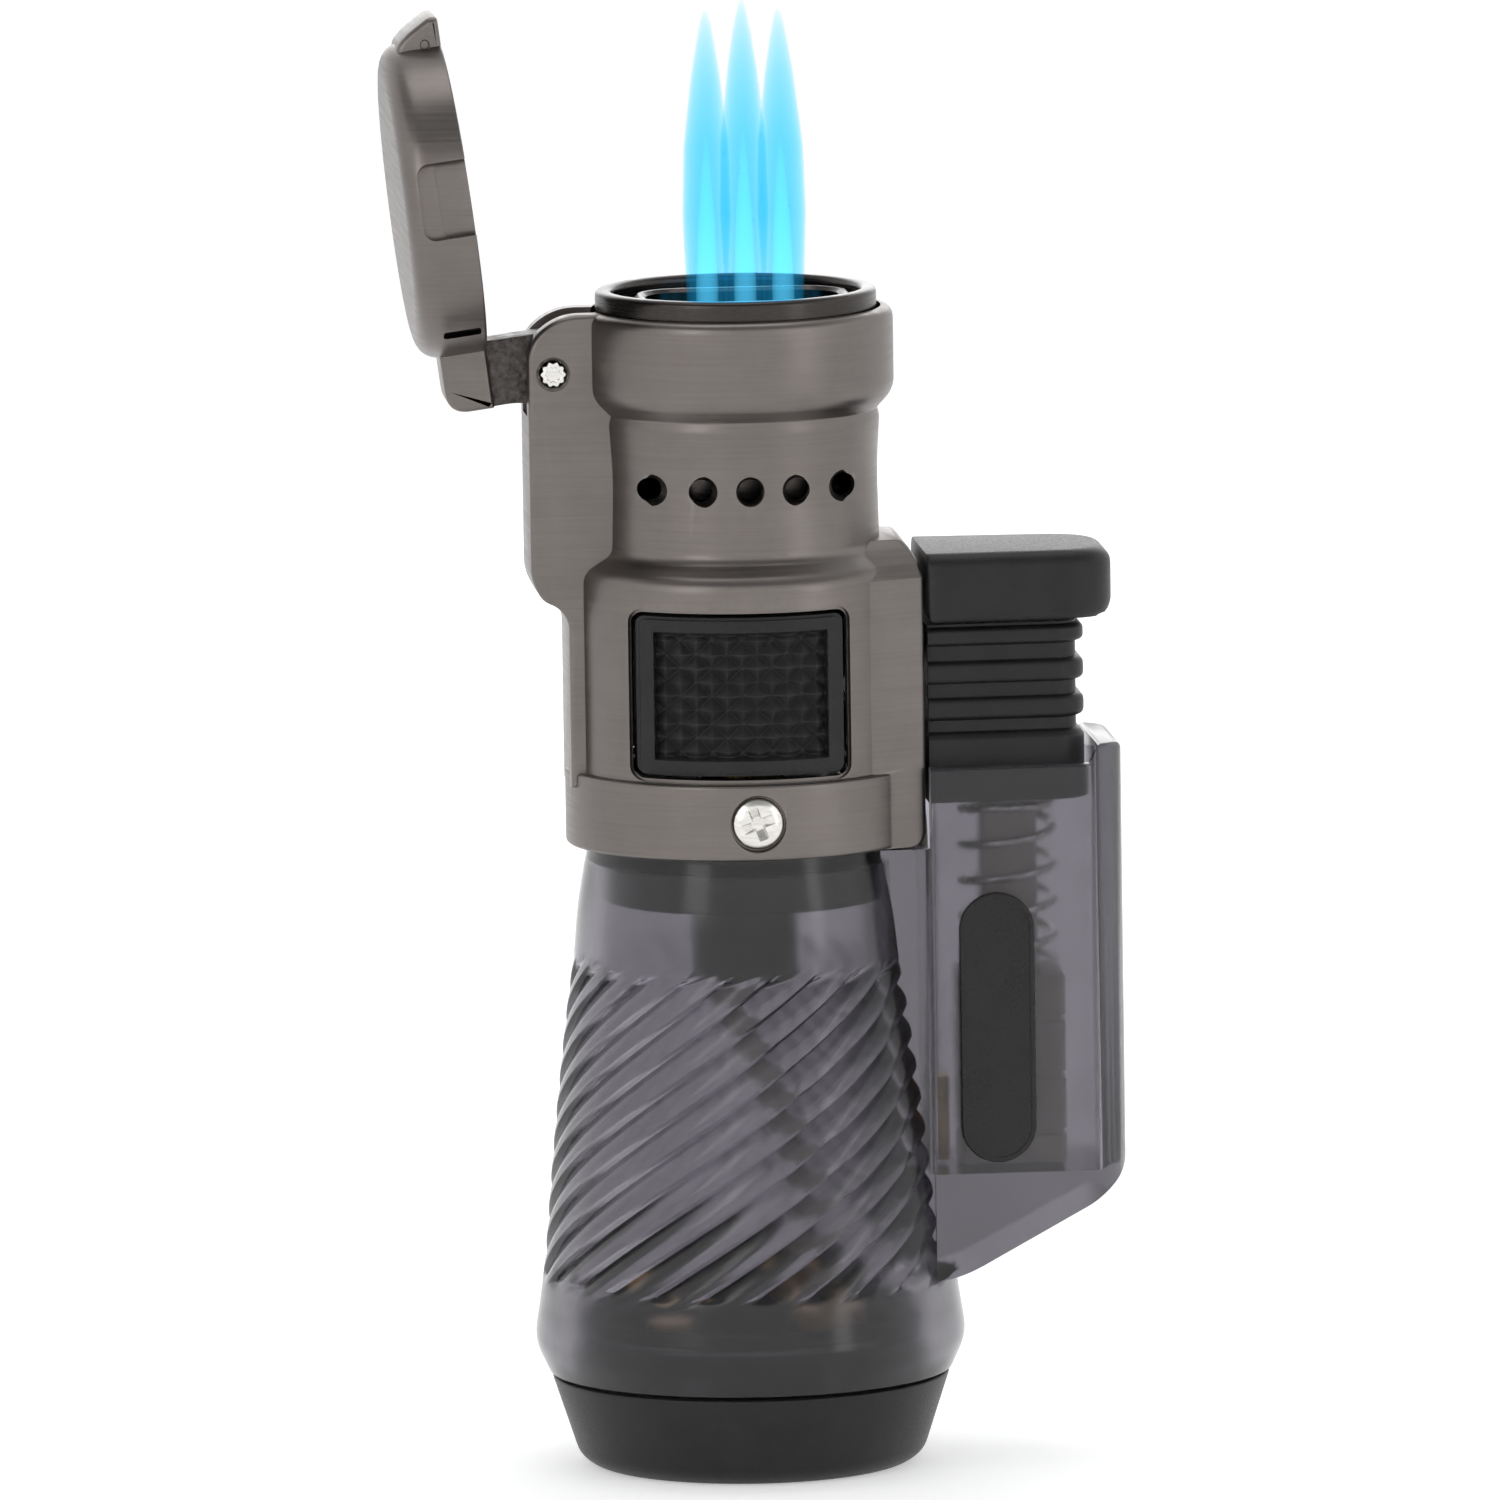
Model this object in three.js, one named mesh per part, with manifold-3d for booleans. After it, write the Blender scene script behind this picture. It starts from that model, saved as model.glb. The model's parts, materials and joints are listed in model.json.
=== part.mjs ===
// Triple-jet butane lighter with a flip lid, a side plunger and a smoky fuel tank.
// Millimetres, +Z up, +X towards the plunger, -Y is the front.
// The origin is the centre of the flat base, on the axis of the round body.
import * as THREE from 'three';
import { mergeVertices } from 'three/addons/utils/BufferGeometryUtils.js';
import Module from 'manifold-3d';

const wasm = await Module();
wasm.setup();

// ---------------------------------------------------------------- driving dimensions
const GAP = 0.3;                 // clearance between neighbouring pieces
const ROUND = 32;                // facets round the large turned pieces
const FINE = 16;                 // facets round the small turned pieces
const FLATNESS = 0.004;          // facets closer to flat than this are joined

// Fuel tank and base
const BASE_TOP = 6.4;            // top of the black base cap
const BASE_RADIUS = 14.0;        // base cap where it meets the tank
const TANK_TOP = 43.9;           // where the tank goes into the head
const NECK_RADIUS = 10.9;        // tank neck inside the head
const NECK_TOP = 49.2;
const NECK_BORE = 8.6;
const PORT_OFFSET = 5.6;         // fuel valve and flame dial, each side of the base centre

// Side chamber that holds the plunger and the spark unit
const CHAMBER_LEFT = 12.6;
const CHAMBER_RIGHT = 26.35;
const CHAMBER_TOP = 49.65;        // front and back walls
const CHAMBER_LIP = 51.0;         // raised lip of the end wall
const CHAMBER_FLOOR = 20.8;
const CHAMBER_HALF = 7.0;        // half depth at the left end
const CHAMBER_TAPER = 0.047;     // half depth lost per millimetre towards the right
const CHAMBER_BORE_LEFT = 12.3;
const CHAMBER_BORE_RIGHT = 24.4;
const CHAMBER_BORE_HALF = 5.6;
const WEB_HALF = 6.3;            // web between the round tank and the chamber

// Head casting
const HEAD_BOTTOM = 44.2;
const BAND_TOP = 49.5;
const BAND_RADIUS = 12.45;
const BODY_RADIUS = 11.8;
const BODY_BORE = 10.3;
const SHOULDER_BOTTOM = 63.5;
const SHOULDER_TOP = 65.0;
const THROAT_RADIUS = 9.8;       // waist between shoulder and collar
const THROAT_BORE = 8.6;
const GROOVE_Z = 74.6;           // where the waist meets the collar's sloping underside
const COLLAR_BOTTOM = 75.9;
const COLLAR_TOP = 81.75;
const COLLAR_RADIUS = 11.0;
const RIM_SEAT_RADIUS = 10.15;
const RIM_SEAT_Z = 79.7;
const RIM_TOP = 83.1;
const RIM_RADIUS = 9.85;
const RIM_BORE = 8.7;
const VENT_Z = 69.8;
const VENT_RADIUS = 0.85;
const VENT_PITCH = 3.39;         // between neighbouring vents, all drilled straight through
const SCREW_Z = 46.8;
const SCREW_HEAD_RADIUS = 1.8;

// Grip pads in the head
const PAD_LEFT = -8.35;
const PAD_RIGHT = 6.6;
const PAD_BOTTOM = 49.8;
const PAD_TOP = 61.5;
const PAD_CORNER = 0.8;

// Hinge spine and lid
const PIN_X = -13.15;
const PIN_Z = 77.65;
const PIN_RADIUS = 0.9;
const SPINE_HALF = 3.5;
const SPINE_OUTER = -14.9;
const SLOT_HALF = 1.8;
const SLOT_FLOOR_X = -10.0;
const SLOT_SILL = 74.55;
const LID_OPEN_DEG = 97.5;       // how far the lid stands open at rest
const LID_RADIUS = 11.15;
const LID_RIM = 4.3;             // height of the closed lid's rim above the pin
const LID_HEIGHT = 4.9;
const LID_BORE = 10.35;
const LID_ROOF = 0.8;
const ARM_HALF = 1.6;
const ARM_EYE = 2.8;

// Boss beside the plunger, and the plunger
const BOSS_LEFT = 8.0;
const BOSS_RIGHT = 12.3;
const BOSS_HALF_LEFT = 8.8;      // half depth at its left edge, on the round body
const BOSS_HALF_RIGHT = 6.8;
const BOSS_HOLLOW_HALF = 5.5;
const BOSS_SHOULDER = 63.0;      // where its front face starts to slope back
const BOSS_TOP = 65.5;
const STEM_LEFT = 12.65;
const STEM_RIGHT = 23.7;
const STEM_HALF = 5.1;
const STEM_BOTTOM = 47.0;
const CAP_BOTTOM = 59.8;
const CAP_TOP = 64.6;
const CAP_RIGHT = 25.9;
const CAP_HALF = 6.1;
const RIB_CENTRES = [58.65, 56.1, 53.55];
const RIB_HEIGHT = 1.5;
const SPARK_X = 18.4;            // axis of the spark unit and the return spring

// Burner
const JET_CENTRE = 0.7;
const JET_PITCH = 2.7;
const JET_RADIUS = 0.95;
const INSULATOR_X = -4.1;        // axis of the spark electrode
const JET_TOP = 78.4;
const BLOCK_FLANGE_Z = 66.3;
const BLOCK_TOP = 74.2;
const GUARD_BOTTOM = 68.2;
const GUARD_TOP = 82.6;
const GUARD_LEFT = -7.0;
const GUARD_RIGHT = 8.1;
const GUARD_HALF = 5.0;
const GUARD_WALL = 0.8;

// Gas valve and the rocker that the plunger works
const LEVER_X = 9.4;
const LEVER_Z = 55.2;
const VALVE_TOP = 51.2;

// ---------------------------------------------------------------- shape helpers
const mm = (x, y) => new THREE.Vector2(x, y);

// A closed geometry as a solid, its shared corners merged and its flat slivers dropped.
function solid(geometry) {
  const bare = geometry.clone();
  bare.deleteAttribute('normal');
  bare.deleteAttribute('uv');
  const merged = mergeVertices(bare, 1e-4);
  const index = merged.index.array;
  const triangles = [];
  for (let i = 0; i < index.length; i += 3) {
    const [a, b, c] = [index[i], index[i + 1], index[i + 2]];
    if (a !== b && b !== c && c !== a) triangles.push(a, b, c);
  }
  const vertProperties = Float32Array.from(merged.attributes.position.array);
  const triVerts = Uint32Array.from(triangles);
  return new wasm.Manifold(new wasm.Mesh({ numProp: 3, vertProperties, triVerts }));
}

// A solid as a geometry again.
function geometryOf(shape) {
  const mesh = shape.simplify(FLATNESS).getMesh();
  const geometry = new THREE.BufferGeometry();
  geometry.setAttribute('position', new THREE.BufferAttribute(mesh.vertProperties, 3));
  geometry.setIndex(new THREE.BufferAttribute(mesh.triVerts, 1));
  geometry.computeVertexNormals();
  return geometry;
}

// A solid turned about Z from [radius, height] pairs, listed up the outside.
function turned(profile, facets = ROUND, x = 0, y = 0) {
  const points = profile.map(([radius, height]) => mm(radius, height));
  const geometry = new THREE.LatheGeometry(points, facets);
  geometry.rotateX(Math.PI / 2);
  geometry.translate(x, y, 0);
  return solid(geometry);
}

// A turned ring with a rectangular section.
function ring(inner, outer, bottom, top, facets = ROUND, x = 0, y = 0) {
  const profile = [[inner, bottom], [outer, bottom], [outer, top], [inner, top], [inner, bottom]];
  return turned(profile, facets, x, y);
}

function disc(radius, bottom, top, facets = FINE, x = 0, y = 0) {
  return turned([[0, bottom], [radius, bottom], [radius, top], [0, top]], facets, x, y);
}

// An outline drawn in X and Z, pushed out to the same distance front and back.
function extrudedY(outline, half, bevel = 0) {
  const geometry = new THREE.ExtrudeGeometry(outline, {
    depth: 2 * (half - bevel),
    bevelEnabled: bevel > 0,
    bevelSize: bevel,
    bevelThickness: bevel,
    bevelOffset: -bevel,
    bevelSegments: 1,
    curveSegments: 4,
  });
  geometry.translate(0, 0, bevel - half);
  geometry.rotateX(Math.PI / 2);
  return solid(geometry);
}

// An outline drawn in X and Y, pushed up between two heights.
function extrudedZ(outline, bottom, top, bevel = 0) {
  const geometry = new THREE.ExtrudeGeometry(outline, {
    depth: top - bottom - 2 * bevel,
    bevelEnabled: bevel > 0,
    bevelSize: bevel,
    bevelThickness: bevel,
    bevelOffset: -bevel,
    bevelSegments: 1,
    curveSegments: 4,
  });
  geometry.translate(0, 0, bottom + bevel);
  return solid(geometry);
}

function block(x0, x1, y0, y1, z0, z1) {
  const geometry = new THREE.BoxGeometry(x1 - x0, y1 - y0, z1 - z0);
  geometry.translate((x0 + x1) / 2, (y0 + y1) / 2, (z0 + z1) / 2);
  return solid(geometry);
}

// A rod along Y.
function rodY(x, z, radius, y0, y1, facets = FINE) {
  const geometry = new THREE.CylinderGeometry(radius, radius, y1 - y0, facets);
  geometry.translate(x, (y0 + y1) / 2, z);
  return solid(geometry);
}

// A round wire or tube along a smooth curve through points.
function wire(points, radius, steps, sides = 8) {
  const path = new THREE.CatmullRomCurve3(points.map((p) => new THREE.Vector3(...p)));
  const section = new THREE.Shape();
  section.absarc(0, 0, radius, 0, 2 * Math.PI, false);
  const options = { steps, curveSegments: Math.ceil(sides / 2), bevelEnabled: false, extrudePath: path };
  return solid(new THREE.ExtrudeGeometry(section, options));
}

// A rectangle with round corners.
function roundedRect(x0, x1, y0, y1, corner) {
  const shape = new THREE.Shape();
  shape.moveTo(x0 + corner, y0);
  shape.lineTo(x1 - corner, y0);
  shape.absarc(x1 - corner, y0 + corner, corner, -Math.PI / 2, 0, false);
  shape.absarc(x1 - corner, y1 - corner, corner, 0, Math.PI / 2, false);
  shape.absarc(x0 + corner, y1 - corner, corner, Math.PI / 2, Math.PI, false);
  shape.absarc(x0 + corner, y0 + corner, corner, Math.PI, 1.5 * Math.PI, false);
  return shape;
}

// A plan outline with a flat left end and a round-cornered right end, narrowing to the right.
function taperedPlan(left, right, half, taper, corner) {
  const end = half - taper * (right - left - corner);
  const shape = new THREE.Shape();
  shape.moveTo(left, -half);
  shape.lineTo(right - corner, -end);
  shape.absarc(right - corner, corner - end, corner, -Math.PI / 2, 0, false);
  shape.absarc(right - corner, end - corner, corner, 0, Math.PI / 2, false);
  shape.lineTo(left, half);
  shape.closePath();
  return shape;
}

// ---------------------------------------------------------------- finishes
const FINISHES = {
  gunmetal: { color: 0x6f6a66, roughness: 0.36, metalness: 1.0 },
  darkMetal: { color: 0x3d3b3a, roughness: 0.42, metalness: 1.0 },
  steel: { color: 0xc9c7c2, roughness: 0.25, metalness: 1.0 },
  brass: { color: 0xb08d4a, roughness: 0.3, metalness: 1.0 },
  smoke: { color: 0x4b494f, roughness: 0.18, metalness: 0.0, transparent: true, opacity: 0.6 },
  black: { color: 0x161617, roughness: 0.5, metalness: 0.0 },
  rubber: { color: 0x101010, roughness: 0.75, metalness: 0.0 },
  ivory: { color: 0xd8d4c8, roughness: 0.45, metalness: 0.0 },
};

const lighter = new THREE.Group();
lighter.name = 'lighter';

// One named sub-part with its own finish.
function add(name, shape, finish, parent = lighter) {
  const mesh = new THREE.Mesh(geometryOf(shape), new THREE.MeshStandardMaterial(FINISHES[finish]));
  mesh.name = name;
  parent.add(mesh);
  return mesh;
}

// ---------------------------------------------------------------- tank and base
// Side view of the chamber: upright outer end with a raised lip, and a sloping underside.
function chamberSide() {
  const shape = new THREE.Shape();
  shape.moveTo(CHAMBER_LEFT - 3, CHAMBER_TOP);
  shape.lineTo(CHAMBER_LEFT - 3, 12.6);
  shape.lineTo(14.6, 13.7);
  shape.lineTo(24.2, 18.75);
  shape.quadraticCurveTo(CHAMBER_RIGHT, 20.0, CHAMBER_RIGHT, 22.7);
  shape.lineTo(CHAMBER_RIGHT, CHAMBER_TOP);
  shape.quadraticCurveTo(CHAMBER_RIGHT - 0.1, CHAMBER_LIP - 0.1, CHAMBER_RIGHT - 1.4, CHAMBER_LIP);
  shape.lineTo(24.5, CHAMBER_LIP);
  shape.lineTo(23.9, CHAMBER_TOP);
  shape.closePath();
  return shape;
}

function tankShell() {
  const outside = [
    [0, BASE_TOP + GAP], [BASE_RADIUS + 0.1, BASE_TOP + GAP], [15.25, 8.9], [14.4, 14.0], [13.75, 21.7],
    [13.15, 27.5], [12.45, 33.3], [12.0, 36.2], [11.75, 39.5], [11.15, 42.9], [NECK_RADIUS, TANK_TOP],
    [NECK_RADIUS, NECK_TOP], [0, NECK_TOP],
  ];
  const inside = [
    [0, 4], [12.6, 4], [12.6, BASE_TOP + 4.5], [12.4, 14.0], [11.9, 21.7], [11.3, 27.5], [10.6, 33.3],
    [10.15, 36.2], [10.05, 42.9], [NECK_BORE, 43.4], [NECK_BORE, 60], [0, 60],
  ];
  const plan = taperedPlan(0, CHAMBER_RIGHT, CHAMBER_HALF + 0.6, CHAMBER_TAPER, 3.2);
  const box = extrudedY(chamberSide(), 9)
    .intersect(extrudedZ(plan, 0, 60))
    .subtract(block(0, CHAMBER_LEFT, -9, 9, 0, 60));
  const web = extrudedY(chamberSide(), WEB_HALF)
    .intersect(block(0, CHAMBER_LEFT + 1, -9, 9, 0, TANK_TOP));
  const bore = extrudedZ(
    roundedRect(CHAMBER_BORE_LEFT, CHAMBER_BORE_RIGHT, -CHAMBER_BORE_HALF, CHAMBER_BORE_HALF, 1.2),
    CHAMBER_FLOOR, 60,
  );
  return turned(outside).add(web).add(box).subtract(turned(inside)).subtract(bore);
}

function baseCap() {
  const profile = [
    [0, 0], [11.0, 0], [11.8, 0.4], [12.25, 1.0], [BASE_RADIUS, BASE_TOP], [12.3, BASE_TOP],
    [12.3, BASE_TOP + 2.9], [10.9, BASE_TOP + 2.9], [10.9, 4.2], [0, 4.2],
  ];
  const fuelHole = disc(2.6, -1, 6, FINE, -PORT_OFFSET);
  const dialHole = disc(3.6, -1, 2.4, FINE, PORT_OFFSET);
  const stemHole = disc(2.9, -1, 6, FINE, PORT_OFFSET);
  return turned(profile).subtract(fuelHole).subtract(dialHole).subtract(stemHole);
}

function fuelValve() {
  const profile = [
    [0, 3.2], [0.9, 3.2], [0.9, 0.6], [2.3, 0.6], [2.3, 5.5], [3.4, 5.5], [3.4, 6.3], [1.6, 6.3],
    [1.6, 9.6], [0, 9.6],
  ];
  return turned(profile, FINE, -PORT_OFFSET);
}

// The dial under the base, with a screwdriver slot across it.
function flameDial() {
  const slot = block(PORT_OFFSET - 2.6, PORT_OFFSET + 2.6, -0.4, 0.4, 0, 1.3);
  return disc(3.3, 0.5, 2.1, FINE, PORT_OFFSET).subtract(slot);
}

function addTankAndBase(dialGroup) {
  add('tank_shell', tankShell(), 'smoke');
  add('base_cap', baseCap(), 'black');
  add('base_seal', ring(10.9, 12.2, BASE_TOP + 3.2, BASE_TOP + 4.2), 'rubber');
  add('fuel_valve', fuelValve(), 'brass');
  add('fuel_valve_seal', ring(2.6, 3.5, 4.5, 5.2, FINE, -PORT_OFFSET), 'rubber');
  add('regulator_body', ring(1.5, 2.6, 2.4, 10.4, FINE, PORT_OFFSET), 'brass');
  add('flame_dial', flameDial(), 'black', dialGroup);
  add('regulator_stem', disc(1.2, 2.4, 9.2, 16, PORT_OFFSET), 'brass', dialGroup);
  const route = [[PORT_OFFSET, 0, 10.8], [PORT_OFFSET, 0, 17], [2.8, 0, 25], [0, 0, 31], [0, 0, 35.2]];
  add('gas_tube', wire(route, 0.9, 16), 'ivory');
}

// ---------------------------------------------------------------- gas valve
function tankPlug() {
  const profile = [
    [2.9, 40.0], [9.75, 40.0], [9.75, 42.6], [8.3, 43.0], [8.3, 48.6], [2.9, 48.6], [2.9, 40.0],
  ];
  return turned(profile);
}

function gasValve() {
  const profile = [
    [0.7, 35.6], [1.9, 35.6], [2.6, 38.0], [2.6, 50.2], [2.0, VALVE_TOP], [1.1, VALVE_TOP],
    [1.1, 44.0], [0.7, 43.5], [0.7, 35.6],
  ];
  return turned(profile, FINE);
}

// Cup that holds the valve and its filter at the top of the tank.
const valveHousing = () => ring(2.9, 3.7, 34.4, 39.7, FINE);

// Stem with the collar that the rocker lifts, and a nipple for the gas hose.
function valveStem() {
  const profile = [
    [0, 44.4], [0.8, 44.4], [0.8, 55.0], [1.9, 55.0], [1.9, 55.9], [0.8, 55.9], [0.8, 57.4], [0, 57.4],
  ];
  return turned(profile, 16);
}

// Rocker: a fork under the stem's collar, an eye on the pin, and a foot that the plunger pushes.
function valveLever() {
  const arm = new THREE.Shape();
  arm.moveTo(-1.6, 53.4);
  arm.lineTo(8.4, 53.4);
  arm.lineTo(11.6, 49.9);
  arm.lineTo(12.35, 50.4);
  arm.lineTo(11.2, 55.2);
  arm.absarc(LEVER_X, LEVER_Z, 1.8, 0, 0.75 * Math.PI, false);
  arm.lineTo(7.2, 54.6);
  arm.lineTo(-1.6, 54.6);
  arm.closePath();
  const fork = block(-3, 1.2, -1.2, 1.2, 50, 57);
  const eye = rodY(LEVER_X, LEVER_Z, 0.9, -5, 5);
  return extrudedY(arm, 2.2).subtract(fork).subtract(eye);
}

function addGasValve(leverGroup, stemGroup) {
  add('tank_plug', tankPlug(), 'black');
  add('valve_housing', valveHousing(), 'black');
  add('gas_valve', gasValve(), 'brass');
  add('valve_stem', valveStem(), 'brass', stemGroup);
  add('valve_lever', valveLever(), 'steel', leverGroup);
  add('lever_pin', rodY(LEVER_X, LEVER_Z, 0.8, -6.1, 6.1, 16), 'steel');
  add('gas_hose', ring(1.1, 1.7, 56.3, BLOCK_FLANGE_Z - GAP, 16), 'ivory');
}

// ---------------------------------------------------------------- head
function headRound() {
  return turned([
    [0, HEAD_BOTTOM], [12.1, HEAD_BOTTOM], [BAND_RADIUS, HEAD_BOTTOM + 0.4], [BAND_RADIUS, BAND_TOP - 0.2],
    [12.25, BAND_TOP], [BODY_RADIUS, BAND_TOP], [BODY_RADIUS, SHOULDER_BOTTOM - 0.4],
    [11.5, SHOULDER_BOTTOM + 0.3], [10.2, SHOULDER_TOP - 0.4], [9.85, SHOULDER_TOP + 0.3],
    [THROAT_RADIUS, 70.5], [THROAT_RADIUS + 0.15, 74.0], [THROAT_RADIUS, GROOVE_Z],
    [COLLAR_RADIUS, COLLAR_BOTTOM],
    [COLLAR_RADIUS, COLLAR_TOP - 1.0], [COLLAR_RADIUS - 0.25, COLLAR_TOP - 0.35],
    [COLLAR_RADIUS - 0.6, COLLAR_TOP], [0, COLLAR_TOP],
  ]);
}

function headBore() {
  return turned([
    [0, HEAD_BOTTOM - 1], [11.2, HEAD_BOTTOM - 1], [11.2, NECK_TOP + GAP], [BODY_BORE, NECK_TOP + GAP],
    [BODY_BORE, SHOULDER_BOTTOM - 1], [THROAT_BORE, SHOULDER_TOP - 0.2], [THROAT_BORE, RIM_SEAT_Z],
    [RIM_SEAT_RADIUS, RIM_SEAT_Z], [RIM_SEAT_RADIUS, COLLAR_TOP + 1], [0, COLLAR_TOP + 1],
  ]);
}

// Side view of the hinge spine.
function spineSide() {
  const shape = new THREE.Shape();
  shape.moveTo(-8.8, COLLAR_TOP);
  shape.lineTo(-12.0, COLLAR_TOP);
  shape.quadraticCurveTo(-14.4, COLLAR_TOP - 0.1, SPINE_OUTER, 79.0);
  shape.lineTo(SPINE_OUTER, 64.4);
  shape.quadraticCurveTo(SPINE_OUTER + 0.05, 62.3, -14.0, 61.6);
  shape.lineTo(-13.1, 61.25);
  shape.quadraticCurveTo(-12.4, 60.9, -12.35, 59.4);
  shape.lineTo(-12.35, BAND_TOP - 1);
  shape.lineTo(-8.8, BAND_TOP - 1);
  shape.closePath();
  return shape;
}

// Side view of the boss beside the plunger, its top corner rounded.
function bossSide() {
  const shape = new THREE.Shape();
  shape.moveTo(6.0, HEAD_BOTTOM);
  shape.lineTo(BOSS_RIGHT - 0.9, HEAD_BOTTOM);
  shape.quadraticCurveTo(BOSS_RIGHT, HEAD_BOTTOM, BOSS_RIGHT, HEAD_BOTTOM + 0.9);
  shape.lineTo(BOSS_RIGHT, BOSS_SHOULDER);
  shape.quadraticCurveTo(BOSS_RIGHT - 0.1, BOSS_TOP - 0.2, BOSS_RIGHT - 1.3, BOSS_TOP);
  shape.lineTo(6.0, BOSS_TOP);
  shape.closePath();
  return shape;
}

// The boss seen from the plunger: upright sides, then slopes up to a narrow top.
function bossEnd() {
  return new THREE.Shape([
    mm(-10, HEAD_BOTTOM), mm(10, HEAD_BOTTOM), mm(9, BOSS_SHOULDER), mm(4.5, BOSS_TOP), mm(-4.5, BOSS_TOP),
    mm(-9, BOSS_SHOULDER),
  ]);
}

// Plan of the boss: it narrows from the round body to the plunger.
function bossPlan() {
  const slope = (BOSS_HALF_LEFT - BOSS_HALF_RIGHT) / (BOSS_RIGHT - BOSS_LEFT);
  const inner = BOSS_HALF_LEFT + slope * (BOSS_LEFT - 6.0);
  return new THREE.Shape([
    mm(6.0, -inner), mm(BOSS_RIGHT, -BOSS_HALF_RIGHT), mm(BOSS_RIGHT, BOSS_HALF_RIGHT), mm(6.0, inner),
  ]);
}

function ventHoles() {
  let holes = rodY(0, VENT_Z, VENT_RADIUS, -14, 14, 8);
  for (const step of [-2, -1, 1, 2]) holes = holes.add(rodY(step * VENT_PITCH, VENT_Z, VENT_RADIUS, -14, 14, 8));
  return holes;
}

function headHousing() {
  const spine = extrudedY(spineSide(), SPINE_HALF, 0.3);
  const boss = extrudedY(bossSide(), 12)
    .intersect(extrudedZ(bossPlan(), 40, 70))
    .intersect(extrudedY(bossEnd(), 20).rotate([0, 0, 90]));
  const bossHollow = block(
    BOSS_LEFT, 14, -BOSS_HOLLOW_HALF, BOSS_HOLLOW_HALF, NECK_TOP + GAP, SHOULDER_BOTTOM - 1.1,
  );
  const rampGroove = block(11.7, 14, -2, 2, HEAD_BOTTOM - 1, NECK_TOP + 1);
  const leadGroove = block(11.7, 14, 4.3, BOSS_HOLLOW_HALF, HEAD_BOTTOM - 1, NECK_TOP + 1);
  const windowShape = roundedRect(PAD_LEFT, PAD_RIGHT, PAD_BOTTOM, PAD_TOP, PAD_CORNER);
  const slot = block(-16, SLOT_FLOOR_X, -SLOT_HALF, SLOT_HALF, SLOT_SILL, 90);
  const springChannel = block(-14.1, -12.3, -1.5, 1.5, 66.2, SLOT_SILL + 1);
  const screwHoles = rodY(0, SCREW_Z, 1.3, -14, 14, 8)
    .add(rodY(0, SCREW_Z, SCREW_HEAD_RADIUS + 0.2, -14, 0.8 - BAND_RADIUS))
    .add(rodY(0, SCREW_Z, SCREW_HEAD_RADIUS + 0.2, BAND_RADIUS - 0.8, 14));
  return headRound().add(spine).add(boss)
    .subtract(headBore())
    .subtract(bossHollow)
    .subtract(rampGroove)
    .subtract(leadGroove)
    .subtract(extrudedY(windowShape, 14))
    .subtract(slot)
    .subtract(springChannel)
    .subtract(rodY(PIN_X, PIN_Z, PIN_RADIUS + 0.1, -5, 5))
    .subtract(rodY(LEVER_X, LEVER_Z, 1.1, -6.4, 6.4, 8))
    .subtract(ventHoles())
    .subtract(screwHoles);
}

// A curved grip pad that fills a window, with a lip behind the wall.
function gripPad(side) {
  const face = extrudedY(
    roundedRect(PAD_LEFT + GAP, PAD_RIGHT - GAP, PAD_BOTTOM + GAP, PAD_TOP - GAP, PAD_CORNER - 0.2), 14,
  );
  const front = block(-14, 14, Math.min(0, side * 14), Math.max(0, side * 14), 40, 70);
  const curve = ring(BODY_BORE - 1.3, BODY_RADIUS, PAD_BOTTOM - 1, PAD_TOP + 1);
  return curve.intersect(face).intersect(front);
}

// Round-headed screw through the band into the tank neck.
function bandScrew(side) {
  const head = rodY(0, SCREW_Z, SCREW_HEAD_RADIUS, 11.75, 12.55, 20);
  const shank = rodY(0, SCREW_Z, 1.0, 11.2, 12, 16);
  const recess = block(-0.25, 0.25, 12.1, 14, SCREW_Z - 1, SCREW_Z + 1)
    .add(block(-1, 1, 12.1, 14, SCREW_Z - 0.25, SCREW_Z + 0.25));
  const screw = head.add(shank).subtract(recess);
  return side < 0 ? screw.rotate([0, 0, 180]) : screw;
}

// Leaf in the spine that presses on the arm's eye to hold the lid at either end.
function detentSpring() {
  return block(-13.7, -13.2, -1.2, 1.2, 66.5, SLOT_SILL - 0.1);
}

function rimRing() {
  return turned([
    [9.1, 80.0], [RIM_RADIUS, 80.0], [RIM_RADIUS, RIM_TOP - 0.6], [9.6, RIM_TOP - 0.15], [9.25, RIM_TOP],
    [8.95, RIM_TOP - 0.1], [RIM_BORE, RIM_TOP - 0.5], [RIM_BORE, 80.6], [9.1, 80.0],
  ]);
}

function addHead() {
  add('head_housing', headHousing(), 'gunmetal');
  add('front_grip_pad', gripPad(-1), 'rubber');
  add('rear_grip_pad', gripPad(1), 'rubber');
  add('front_screw', bandScrew(-1), 'steel');
  add('rear_screw', bandScrew(1), 'steel');
  add('hinge_pin', rodY(PIN_X, PIN_Z, PIN_RADIUS, -3.65, 3.65, 16), 'steel');
  add('detent_spring', detentSpring(), 'steel');
  add('rim_ring', rimRing(), 'darkMetal');
}

// ---------------------------------------------------------------- burner
const jetX = (number) => JET_CENTRE + (number - 2) * JET_PITCH;

function flameGuard() {
  const outer = roundedRect(GUARD_LEFT, GUARD_RIGHT, -GUARD_HALF, GUARD_HALF, 3.6);
  const inner = roundedRect(
    GUARD_LEFT + GUARD_WALL, GUARD_RIGHT - GUARD_WALL, GUARD_WALL - GUARD_HALF, GUARD_HALF - GUARD_WALL, 2.8,
  );
  return extrudedZ(outer, GUARD_BOTTOM, GUARD_TOP).subtract(extrudedZ(inner, 60, 90));
}

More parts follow.
